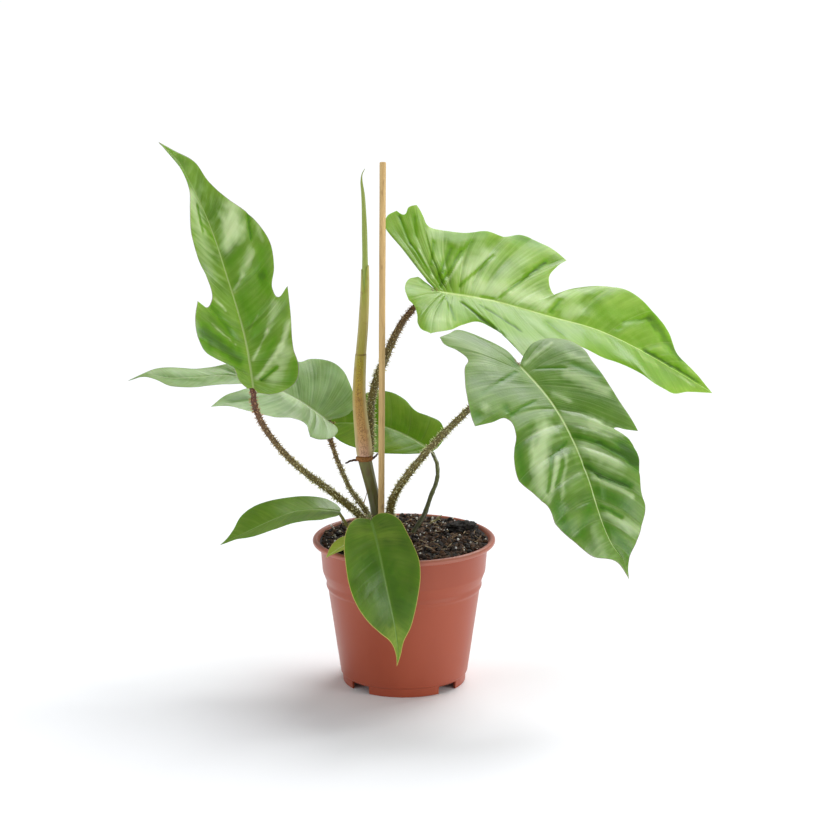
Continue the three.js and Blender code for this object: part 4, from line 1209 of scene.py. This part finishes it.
def stalk_points(name, leaf):
    """The stalk's path, from inside the stem to its seat just under the midrib."""
    joint, along, _, face, _ = leaf_frame(leaf)
    start = leaf["stalk_from"]
    if "point" in start:
        path = [Vector(start["point"])]
    else:
        outward = Vector((*start["direction"], 0)).normalized()
        on_ring = start["height"] > CROWN_TOP
        middle = Vector((*((RING.x, 0) if on_ring else CROWN), start["height"]))
        body = RING_RADIUS if on_ring else CROWN_RADIUS
        path = [middle + outward * (body + out) for out in (STALK_START, JOIN_GAP + STALK_CLEAR)]
    path += [Vector(point) for point in leaf["stalk"]]
    behind = leaf["stalk_radius"][2] + BLADE_BACK + JOIN_GAP
    seat = STEEP_SEAT if name in STEEP_STALKS else SEAT
    return path + [joint - face * behind + along * place for place in seat]


# %% Stalks
PATH_POINTS = 70
CORE_SHARE = 0.88
BRISTLES_PER_SQUARE_METRE = 270000.0
FEWER_BRISTLES = {"back": 0.0, "lower_left": 12000.0, "front": 60000.0, "small": 60000.0}
SKINS = {
    "right": olive_skin, "back": smooth_skin, "front": smooth_skin, "small": smooth_skin,
    "lower_left": yellow_skin,
}

for seed, (name, leaf) in enumerate(LEAVES.items()):
    line = bpy.data.meshes.new("line")
    places = smooth_path(stalk_points(name, leaf), PATH_POINTS)
    line.from_pydata([Vector(p) * MM for p in places], [(k, k + 1) for k in range(PATH_POINTS - 1)], [])
    foot, middle, top = (radius * CORE_SHARE * MM for radius in leaf["stalk_radius"])
    stalk = grown(
        f"bristly_stalk_{name}", line, bristly, Foot_radius=foot, Middle_radius=middle, Top_radius=top,
        Bristles_per_square_metre=FEWER_BRISTLES.get(name, BRISTLES_PER_SQUARE_METRE),
        Bristle_length=0.0031, Bristle_radius=0.00045, Lean=0.6, Seed=seed, Finish=bristly_skin,
    )
    settle(stalk, SKINS.get(name, bristly_skin), "stalk", f"stalk_{name}")

# %% [markdown]
# ## Blades
# A philodendron's blade is a thin sheet, pleated between its side veins, with a stout midrib that
# stands out underneath and lies in a groove on top. A subdivided and displaced outline would lose
# the veins. Instead each blade is a grid that follows them: rows run along the side veins, columns
# run from the midrib to the margin, so pleats, grooves and colours can follow real distances.

# %% Smooth lines through listed points
SHARP_TURN = math.radians(52)


def hermite(t, start, end, leaving, arriving):
    """From start to end, setting out and arriving with the two given slopes."""
    return (
        start * (2 * t ** 3 - 3 * t ** 2 + 1) + leaving * (t ** 3 - 2 * t ** 2 + t)
        + end * (3 * t ** 2 - 2 * t ** 3) + arriving * (t ** 3 - t ** 2)
    )


def tangents(points, inward):
    """Directions in and out of each point, which differ at a tooth's sharp corner."""
    steps = [after - here for here, after in zip(points, points[1:])]
    ways = []
    for before, after in zip([steps[0], *steps], [*steps, steps[-1]]):
        if before.angle(after, 0) > SHARP_TURN and before.cross(after) * inward > 0:
            ways.append((before.normalized(), after.normalized()))
        else:
            share = before.length / (before.length + after.length)
            slope = before.normalized().lerp(after.normalized(), share).normalized()
            ways.append((slope, slope))
    return ways


def margin_line(points, inward, steps):
    """A smooth line through margin points that keeps its teeth sharp, `steps` to each stretch."""
    points = [Vector(point) for point in points]
    ways = tangents(points, inward)
    line = []
    for start, end, (_, leave), (arrive, _) in zip(points, points[1:], ways, ways[1:]):
        reach = (end - start).length
        line += [hermite(k / steps, start, end, leave * reach, arrive * reach) for k in range(steps)]
    return np.array([*line, points[-1]])


def smooth_between(pairs, places):
    """Values at some places on a smooth curve through listed (place, value) pairs."""
    xs, ys = np.array(pairs, float).T
    slopes = np.gradient(ys, xs)
    places = np.clip(places, xs[0], xs[-1])
    k = np.clip(np.searchsorted(xs, places) - 1, 0, len(xs) - 2)
    width = xs[k + 1] - xs[k]
    return hermite((places - xs[k]) / width, ys[k], ys[k + 1], slopes[k] * width, slopes[k + 1] * width)


# %% [markdown]
# ### Ribs and pleats of each blade
# Side veins stand at some of the rows. The blade bulges up between two of them by its pleat depth,
# given as (row, depth) for the left and the right half: most half-way out and less at the margin.
# Young and small leaves are nearly flat. The curl bends the margin down, and the waviness makes it
# rise and fall.

# %% Ribs, pleats and waves
RELIEF = {
    "upper_left": {
        "left": [(0, 0.4), (5, 1.2), (9, 0.8), (17, 0.4)],
        "right": [(0, 0.6), (4, 1.8), (7, 1.2), (10, 1.4), (14, 0.8), (17, 0.3)],
        "curl": 1.0, "wave": 1.2, "ribs": [1, 3, 5, 6.5, 8, 10.5, 12, 13.5, 14.5, 15.5],
    },
    "upper_right": {
        "left": [(0, 0.3), (4, 0.7), (8, 0.8), (11, 1.6), (16, 1.6), (22, 1.2), (29, 0.5)],
        "right": [(0, 0.3), (6, 0.5), (10, 0.7), (20, 0.5), (29, 0.3)],
        "curl": 1.5, "wave": 2.0,
        "ribs": [1.5, 3, 5, 8, 10, 12, 13.5, 15, 16.5, 18, 20.5, 22, 23.5, 25, 26.5, 27.5],
    },
    "right": {
        "left": [(0, 0.2), (8, 0.3), (15, 0.4), (17, 1.5), (20, 2.0), (24, 1.2), (26, 0.6)],
        "right": [(0, 0.2), (8, 0.3), (15, 0.4), (17, 2.2), (20, 2.6), (24, 1.2), (26, 0.5)],
        "curl": 2.5, "wave": 1.4, "ribs": [1.5, 4, 8, 12, 16, 17.5, 19, 20.5, 22, 23, 24],
    },
    "far_left": {
        "left": [(0, 0.3), (12, 0.8), (24, 0.3)], "right": [(0, 0.3), (12, 0.6), (24, 0.3)],
        "curl": 0.8, "wave": 1.0, "ribs": [2, 4.5, 7, 9, 11, 12.5, 14, 16.5, 18, 19.5, 21, 22.5],
    },
    "back": {
        "left": [(0, 0.3), (5, 0.5), (11, 0.2)], "right": [(0, 0.3), (5, 0.5), (11, 0.2)],
        "curl": 0.6, "wave": 0.6, "ribs": [1, 2.5, 4, 5.5, 7, 8.5, 9.5],
    },
    "lower_left": {
        "left": [(0, 0.2), (5, 0.3), (11, 0.1)], "right": [(0, 0.2), (5, 0.3), (11, 0.1)],
        "curl": 0.4, "wave": 0.4, "ribs": [1.5, 3, 4.5, 6, 7.5, 9],
    },
    "front": {
        "left": [(0, 0.2), (5, 0.35), (12, 0.1)], "right": [(0, 0.2), (5, 0.35), (12, 0.1)],
        "curl": 0.8, "wave": 0.3, "ribs": [1, 3, 5, 6.5, 8, 9.5, 11],
    },
    "small": {"left": [(0, 0.2)], "right": [(0, 0.2)], "curl": 0.2, "wave": 0.2, "ribs": [1, 2, 3]},
}
print("side veins:", {name: len(shape["ribs"]) for name, shape in RELIEF.items()})

# %% [markdown]
# ### Puffs and creases, with painted sheen and painted shade
# The big leaves also have their own marks. Where the tissue between two veins is puffed up, a pale
# mark paints on it the sheen of a broad soft light; where it is creased or catches no sheen, a deep
# mark paints it saturated green and its creases dark, as painted shade. Each mark is a round-ended
# band: where it starts and ends, as along and across, its half-width, and how strong it is, above
# zero for a pale painted sheen and below zero for painted shade. A pale mark also stands up a
# little, and a deep one sinks.

# %% Marks of each blade, which paint sheen and shade
MARKS = {
    "upper_left": [
        (162, 42, 141, 35, 9, 0.8), (151, 33, 130, 23, 7, 0.8), (186, 10, 150, 2, 5, 0.35),
        (152, 54, 129, 46, 1.6, -1.8), (146, 59, 122, 55, 2.4, 0.4), (118, 50, 94, 43, 6, -0.7),
        (94, 43, 79, 42, 6, -0.8), (112, 18, 122, 31, 4, -0.6), (88, 13, 100, 26, 1.6, 0.8),
        (100, 26, 117, 42, 4.5, 0.7), (78, 17, 34, 20, 7, -0.5), (49, 13, 60, 24, 1.1, 0.7),
        (24, 8, 44, 29, 1.5, 0.9), (44, 29, 66, 44, 4, 0.5), (13, 8, 34, 32, 3.5, -0.7),
        (7, 6, 25, 34, 2.2, 0.9), (25, 34, 45, 51, 2.5, 0.8), (22, 39, 2, 20, 7, 0.6),
        (4, 9, 10, 25, 1.4, -1.8), (8, 42, -7, 32, 4, -0.8), (78, -17, 52, -6, 5, -1.2),
        (60, -36, 28, -8, 8, -1.6), (64, -25, 41, -6, 1.6, 0.7), (86, -11, 73, -4, 1.2, 0.9),
        (50, -42, 42, -36, 6, -0.6), (185, 6, 110, -8, 9, 0.35), (95, 24, 50, 22, 11, -0.4),
        (157, 4, 138, 13, 1.2, -1.1), (173, 9, 147, 2, 1.2, -1.1),
    ],
    "upper_right": [
        (-7, -56, -8, -28, 1.3, -1.6), (11, -54, 0, -15, 2.8, -1.6), (20, -52, 3, -7, 2, -1.8),
        (30, -66, 22, -54, 1.5, -1.3), (52, -56, 21, -12, 1.5, -1.4), (106, -68, 61, -11, 1.8, -1.6),
        (108, -70, 90, -50, 6, -0.6), (123, -29, 114, -12, 2.6, -1.5), (42, -6, 56, -8, 1.2, -1.4),
        (-21, -42, -5, -14, 1.3, 0.9), (6, -10, 21, -44, 1.6, 0.9), (-40, -80, -29, -49, 1.5, -1.3),
        (-29, -49, -8, -19, 1.5, -1.3), (-27, -80, -24, -58, 2, -1.1), (-28, -85, -24, -80, 6, -0.3),
        (-42, -84, -38, -80, 5, -0.5), (12, -68, 40, -79, 6, -0.9), (76, -90, 99, -92, 8, -1.2),
        (27, -28, 45, -56, 7, 0.7), (36, -14, 102, -20, 11, 0.9), (7, 7, 13, 38, 1.4, -1.1),
        (22, 9, 38, 26, 1.6, -1.4), (38, 26, 60, 45, 1.6, -1.4), (40, 8, 77, 31, 1.5, -1.3),
        (109, 3, 125, 16, 2, -1), (165, -36, 222, -46, 9, -0.4), (228, -54, 262, -24, 9, -1.4),
        (187, -21, 196, -34, 1.8, -0.8), (196, -34, 226, -52, 1.8, -0.8), (130, -14, 143, -27, 6, 0.55),
        (217, 3, 275, 5, 3.5, 0.5), (219, -11, 284, -4, 2.6, -1.6), (-30, 9, -28, 7, 6, -0.6),
        (-17, 60, -14, 56, 5, -0.5), (-5, 44, 9, 40, 7, 0.5), (-12, -8, -3, -3, 3.5, -1),
        (20, 24, 230, 16, 34, -0.58), (20, -34, 120, -36, 34, 0.3),
    ],
    "right": [
        (0, -5, -11, -44, 1.8, 0.7), (8, -12, 17, -38, 1.3, -1.3), (18, -49, 34, -64, 4, -1),
        (13, -58, 8, -52, 5, 0.6), (23, -37, 51, -60, 7, 0.75), (36, -12, 48, -22, 2.4, 0.6),
        (62, -9, 77, -32, 6, 0.7), (77, -32, 97, -54, 6, 0.8), (80, -7, 95, -27, 1.8, -1.8),
        (95, -27, 122, -50, 2.6, -1.8), (104, -48, 124, -54, 8, -1.9), (93, -11, 118, -31, 8, 0.85),
        (108, -3, 122, -12, 2.4, -1.8), (122, -12, 140, -34, 3, -1.8), (122, -4, 150, -32, 2.4, 1),
        (133, -2, 156, -24, 5.5, -1), (148, 1, 163, -13, 2.2, -1.8), (157, -1, 178, -24, 5.5, 0.85),
        (164, 3, 193, -9, 4.5, -1), (83, 4, 93, 30, 1.4, -1.4), (93, 30, 121, 52, 1.6, -1.3),
        (64, 18, 88, 42, 8, 1), (88, 42, 114, 58, 8, 0.9), (95, 25, 128, 55, 4, 0.9),
        (95, 14, 131, 42, 2.3, 0.6), (100, 21, 118, 40, 1.8, -0.9), (72, 57, 102, 67, 5, -1),
        (134, 49, 156, 48, 7, -1), (142, 11, 165, 34, 5, -0.8), (165, 21, 186, 19, 6, 0.4),
        (5, 9, 10, 30, 1.7, -1.1), (10, 30, 16, 59, 1.7, -0.8), (-8, 1, -2, 4, 4, -1),
        (43, 43, 38, 11, 1.8, -0.9), (38, 47, 36, 45, 3.5, -1), (38, 81, 35, 77, 5, -0.9),
        (32, 70, 30, 66, 4, 0.7), (-38, 52, -15, 33, 12, 0.45),
    ],
    "far_left": [
        (110, 24, 185, 12, 6, 0.45), (125, 5, 160, 9, 5, -0.5), (97, -32, 82, -18, 6, -1.2),
        (70, -14, 40, -6, 9, -0.35), (-10, 45, 30, 30, 18, 0.15), (30, 10, 62, 22, 8, 0.35),
    ],
    "back": [(20, 5, 90, 25, 16, -0.6)],
    "front": [(98, 0, 124, -1, 11, 0.75), (40, 6, 78, -6, 16, -1.2), (8, 14, 18, -14, 9, 0.35)],
}
print("marks:", {name: len(bands) for name, bands in MARKS.items()})
MARK_RISE = 0.6
MARK_RAGGED = 0.5
RAGGED_SIZE = 6
ROW_STEPS = 8
COLUMNS = 32
COLUMN_CROWDING = 1.2
THICKNESS = 0.5
RIM_WIDTH = 1.2
MIDRIB_WIDTH = 1.3
MIDRIB_TAPER = 0.75
MIDRIB_BULGE = 1.5
MIDRIB_GROOVE = 0.5
FULL_MIDRIB_LENGTH = 200
VEIN_BULGE = 0.35
VEIN_WIDTH = 0.7
VEIN_BOW = 0.055
FULL_VEIN_REACH = 40
PLEAT_START = 0.16
PLEAT_FALL = 0.62
WAVE_LENGTH = 3.1
WAVE_PHASE = 1.3
FULL_RELIEF_REACH = 34
SWAY = 1.3
SWAY_SIZE = 26
SWAY_START = 12


def blade_grid(leaf):
    """Flat places (along, across) of rows by columns, the midrib at 0, and each row's number."""
    length = (Vector(leaf["tip"]) - Vector(leaf["joint"])).length
    veins = np.array(leaf["veins"], float)
    left = margin_line([*veins[:, 1:3], (length, 0)], 1, ROW_STEPS)
    right = margin_line([*veins[:, 3:5], (length, 0)], -1, ROW_STEPS)
    rows = np.arange(len(left)) / ROW_STEPS
    roots = np.interp(rows, np.arange(len(veins) + 1), [*veins[:, 0], length])
    middle = np.stack([roots, smooth_between(leaf["spine"], roots)], axis=1)
    share = (np.arange(1, COLUMNS + 1) / COLUMNS) ** COLUMN_CROWDING
    halves = []
    for margin in (left, right):
        span = margin - middle
        bow = VEIN_BOW * np.linalg.norm(span, axis=1) * np.clip(rows / 4, 0, 1)
        half = [middle + span * part for part in share]
        for place, part in zip(half, share):
            place[:, 0] -= bow * 4 * part * (1 - part)
        halves.append(half)
    columns = [*halves[0][::-1], middle, *halves[1]]
    return np.stack(columns, axis=1), rows, length, np.concatenate([-share[::-1], [0], share])


def cloudy(a, b, size, layer):
    """Slow random variation over a grid of places, with clouds of some size in millimetres."""
    places = zip(a.ravel() / size, b.ravel() / size)
    return np.array([noise.noise(Vector((x, y, layer))) for x, y in places]).reshape(a.shape)


def marks(name, a, b):
    """How puffed with a painted sheen (above zero) or creased with painted shade (below zero) the blade is.
    """
    total = np.zeros_like(a)
    ragged = 1 + MARK_RAGGED * cloudy(a, b, RAGGED_SIZE, 0)
    for from_a, from_b, to_a, to_b, half_width, strength in MARKS.get(name, []):
        way = np.array([to_a - from_a, to_b - from_b])
        t = np.clip(((a - from_a) * way[0] + (b - from_b) * way[1]) / (way @ way), 0, 1)
        off = np.hypot(a - from_a - t * way[0], b - from_b - t * way[1])
        total += strength * np.exp(-((off * ragged / half_width) ** 2))
    return np.clip(total, -2, 1)


def relief(name, rows, share, reach):
    """Height of pleats, waves and curl over the plain blade, and each row's phase."""
    shape = RELIEF[name]
    ribs = np.array([-1, *shape["ribs"], rows[-1] + 1])
    phase = np.interp(rows, ribs, np.arange(len(ribs)))
    out = np.abs(share)[None, :]
    left, right = (np.interp(rows, *zip(*shape[half]))[:, None] for half in ("left", "right"))
    swell = np.abs(np.sin(np.pi * phase))[:, None] ** 0.75
    room = np.clip(reach / FULL_RELIEF_REACH, 0.05, 1.25)
    envelope = np.clip(out / PLEAT_START, 0, 1) * (1 - PLEAT_FALL * out ** 2.2)
    pleats = np.where(share < 0, left, right) * swell * envelope
    turn = math.tau * phase[:, None] / WAVE_LENGTH
    waves = shape["wave"] * np.sin(turn + WAVE_PHASE + 2 * np.sign(share))
    return (pleats + waves * out ** 2.4 - shape["curl"] * out ** 4) * room, phase


# %% Blade skins
def closed_skins(top, under):
    """Points and faces of two sheets that are joined round their edge and end in one point."""
    count, wide = top.shape[:2]
    body = (count - 1) * wide
    skin = body + 1
    points = [point for sheet in (top, under) for point in (*sheet[:-1].reshape(-1, 3), sheet[-1, COLUMNS])]
    faces = []
    for i in range(count - 1):
        for j in range(wide - 1):
            here = i * wide + j
            beyond = (here + wide + 1, here + wide) if i < count - 2 else (body,)
            quad = (here, here + 1, *beyond)
            faces += [quad, tuple(skin + corner for corner in reversed(quad))]
    right = range(wide - 1, body, wide)
    left = range(wide, body, wide)
    edge = [*range(wide - 1), *right, body, *reversed(left)]
    for first, second in zip(edge, [*edge[1:], edge[0]]):
        faces.append((second, first, skin + first, skin + second))
    return points, faces


def build_blade(name, leaf):
    joint, along, across, face, _ = leaf_frame(leaf)
    flat, rows, length, share = blade_grid(leaf)
    a, b = flat[..., 0], flat[..., 1]
    w = b - smooth_between(leaf["spine"], np.clip(a, 0, length))
    t = a / length
    fold = np.tan(np.radians(np.where(share < 0, *leaf["fold"])))[None, :]
    span = np.linalg.norm(flat - flat[:, COLUMNS:COLUMNS + 1], axis=2)
    reach = np.where(share < 0, span[:, :1], span[:, -1:])
    extra, phase = relief(name, rows, share, reach)
    mark = marks(name, a, b)
    sway = SWAY * cloudy(a, b, SWAY_SIZE, len(name)) * np.clip(span / SWAY_START, 0, 1)
    height = 4 * leaf["arch"] * t * (1 - t) + fold * (np.sqrt(w * w + 4) - 2) + leaf["twist"] * t * w
    lifted = height + extra + MARK_RISE * mark + sway
    axes = np.array([along, across, face])
    sheet = np.array(joint) + np.stack([a, b, lifted], axis=2) @ axes

    normals = np.cross(np.gradient(sheet, axis=0), np.gradient(sheet, axis=1))
    normals /= np.maximum(np.linalg.norm(normals, axis=2), 1e-9)[..., None]
    normals *= np.sign(np.sum(normals * axes[2], axis=2))[..., None]
    normals[-1] = axes[2]

    taper = 1 - MIDRIB_TAPER * np.clip(t, 0, 1)
    ridge = taper * np.exp(-((span / (MIDRIB_WIDTH * taper)) ** 2))
    bulge = MIDRIB_BULGE * ridge * np.clip(length / FULL_MIDRIB_LENGTH, 0.45, 1)
    ribs_at = np.interp(np.round(phase), phase, rows)
    step = np.linalg.norm(np.gradient(flat, axis=0), axis=2) * ROW_STEPS
    from_vein = np.abs(rows - ribs_at)[:, None] * step
    side_vein = VEIN_BULGE * np.exp(-((from_vein / VEIN_WIDTH) ** 2)) * (1 - 0.7 * np.abs(share))[None, :]
    half_thick = THICKNESS / 2 * np.clip((reach - span) / RIM_WIDTH, 0.3, 1)
    top = sheet + normals * (half_thick - MIDRIB_GROOVE * ridge)[..., None]
    ribbed = half_thick + bulge + side_vein * np.clip(reach / FULL_VEIN_REACH, 0, 1)
    points, faces = closed_skins(top, sheet - normals * ribbed[..., None])

    fields = {
        "from_midrib": span / (1.45 - 1.1 * t), "from_margin": reach - span, "from_vein": from_vein,
        "mark": mark, "row": rows[:, None], "swell": np.abs(np.sin(np.pi * phase))[:, None],
        "side": share[None, :],
    }
    data = {"underside": np.repeat([0.0, 1.0], len(points) // 2)}
    for key, values in fields.items():
        whole = np.broadcast_to(values, a.shape)
        data[key] = [*whole[:-1].ravel(), whole[-1, COLUMNS]] * 2
    return mesh_object(f"blade_{name}", points, faces, data, sharp_from=70)


blades = {name: build_blade(name, leaf) for name, leaf in LEAVES.items()}
print("blades:", {name: len(piece.data.polygons) for name, piece in blades.items()})

# %% [markdown]
# ### Leaf tissue
# A leaf is a waxy skin over green tissue full of water and air. Seen from above it has a broad soft
# gloss, and light from behind shines through it, so a little subsurface light is added. Its colour
# varies in several ways at once: slow cloudy patches, fine streaks along the side veins, a pale
# midrib and pale side veins, a brighter swelling between the veins that is partly paler tissue and
# partly a painted sheen, a painted glow near the margin where light shines through, the painted
# sheen and painted shade of the marks, and a thin coloured margin. Each of these follows a stored
# distance in millimetres. One recipe takes each leaf's own colours.

# %% Leaf finish
LEAF_ROUGHNESS = 0.34
# Dark painted shade laid into the deepest creases.
PAINTED_CREASE_SHADE = "#2A4A06"
BLADE_DATA = ("from_midrib", "from_margin", "from_vein", "row", "swell", "side", "mark", "underside")


def leaf_finish(name, colours, vein=0.1, streak=0.4, shine=0.28):
    made, tree, shader = new_material(name)
    # The last three colours are painted light: a glow, a pale sheen and a saturated green in shade.
    deep, light, midrib, margin, under, paler_tissue_and_painted_glow, painted_sheen, painted_shade_green = colours.split()
    known = {
        key: add(tree, "ShaderNodeAttribute", attribute_name=key).outputs["Fac"] for key in BLADE_DATA
    }
    place = add(tree, "ShaderNodeTexCoord").outputs["Object"]
    patches = add(tree, "ShaderNodeTexNoise", {"Vector": place, "Scale": 34, "Detail": 2})
    lines = add(tree, "ShaderNodeCombineXYZ", {"X": known["row"], "Y": known["side"]})
    stretched = add(tree, "ShaderNodeMapping", {"Vector": lines, "Scale": (5, 1.2, 1)})
    streaks = add(tree, "ShaderNodeTexNoise", {"Vector": stretched, "Scale": 1, "Detail": 5})
    streaky = {0: streaks, 1: 0.8, 2: known["mark"]}
    known["mark"] = add(tree, "ShaderNodeMath", streaky, operation="MULTIPLY_ADD")
    cloud = add(tree, "ShaderNodeMapRange", {0: patches, 1: 0.38, 2: 0.62})
    stripe = add(tree, "ShaderNodeMapRange", {0: streaks, 1: 0.4, 2: 0.64})
    mixed = add(tree, "ShaderNodeMix", {0: streak, 2: cloud, 3: stripe}, data_type="FLOAT")
    body = add(tree, "ShaderNodeMix", {0: mixed, 6: deep, 7: light}, data_type="RGBA")
    bands = [
        # A lighter swelling between the veins, partly paler tissue and partly a painted sheen, and a
        # painted glow near the margin, where light shines through.
        ("swell", 0.35, 1.0, 0.0, 0.2, paler_tissue_and_painted_glow),
        ("from_margin", 0.0, 8.0, 0.4, 0.0, paler_tissue_and_painted_glow),
        # The marks paint a pale sheen on the puffs, a saturated green in shade, and dark shade in the
        # creases.
        ("mark", 0.42, 1.5, 0.0, 0.9, painted_sheen),
        ("mark", -0.5, 0.38, 1.0, 0.0, painted_shade_green),
        ("mark", -1.4, -0.4, 0.7, 0.0, PAINTED_CREASE_SHADE),
        ("from_vein", 0.15, 0.8, vein, 0.0, midrib),
        ("from_midrib", 0.0, 5.0, 0.25, 0.0, paler_tissue_and_painted_glow),
        ("from_midrib", 0.5, 1.2, 0.85, 0.0, midrib),
        ("from_margin", 0.3, 0.8, 0.8, 0.0, margin),
        ("underside", 0.4, 0.6, 0.0, 0.8, under),
    ]
    gloss = {0: patches, 1: 0.35, 2: 0.65, 3: LEAF_ROUGHNESS - 0.06, 4: LEAF_ROUGHNESS + 0.08}
    fine = add(tree, "ShaderNodeTexNoise", {"Vector": place, "Scale": 500, "Detail": 2})
    bumps = add(tree, "ShaderNodeMath", {0: streaks, 1: 2.0, 2: fine}, operation="MULTIPLY_ADD")
    fill(shader, {
        "Base Color": lay(tree, body, [(known[key], *band) for key, *band in bands]),
        "Roughness": add(tree, "ShaderNodeMapRange", gloss),
        "Normal": add(tree, "ShaderNodeBump", {"Height": bumps, "Strength": 0.25, "Distance": 0.0004}),
        "Specular IOR Level": shine,
        "Subsurface Weight": 0.25,
        "Subsurface Radius": (0.4, 1.0, 0.15),
        "Subsurface Scale": 0.002,
    })
    return made


# %% Leaf colours: deep, light, midrib, margin, underside, a painted glow, a painted sheen and a saturated green in painted shade
LEAF_COLOURS = {
    "upper_left": "#597C24 #7D9F40 #A6BC75 #977B89 #889872 #89A82E #CCDAA8 #5C8C0C",
    "upper_right": "#688E25 #90B247 #CBE28D #9FBA65 #8DA96A #90B231 #C8DAA2 #6B9A06",
    "right": "#4B6C21 #69893A #C1D596 #8A7073 #708C5C #6B8E1F #B2C492 #46740A",
    "far_left": "#738D52 #95AF79 #BCCBA2 #797F69 #79906C #849C45 #C4D4A6 #567C20",
    "back": "#567218 #6F8926 #92A565 #517026 #6C834C #6F8D18 #A2B04D #507706",
    "lower_left": "#607F20 #789630 #90A862 #64823A #67804E #709328 #9AAD4F #578108",
    "front": "#476315 #5C7A21 #6C8C3E #C8B365 #667F4C #658C19 #8FA63C #476C0C",
    "small": "#8CA01E #A8B832 #BAC37A #C7AA7A #92A65B #9EAF3F #BAC37A #8CA01E",
}
LEAF_EXTRAS = {
    "far_left": {"vein": 0.06, "streak": 0.25}, "back": {"shine": 0.12},
    "front": {"vein": 0.03, "streak": 0.2},
}
LEAF_KINDS = {
    "upper_right": ("young_waxy_leaf", "young_leaf"), "small": ("pale_young_leaf", "palest_leaf"),
}
for name, piece in blades.items():
    kind, slot = LEAF_KINDS.get(name, ("waxy_leaf", "leaf"))
    skin = leaf_finish(f"{kind}_{name}", LEAF_COLOURS[name], **LEAF_EXTRAS.get(name, {}))
    settle(piece, skin, slot, f"leaf_{name}")
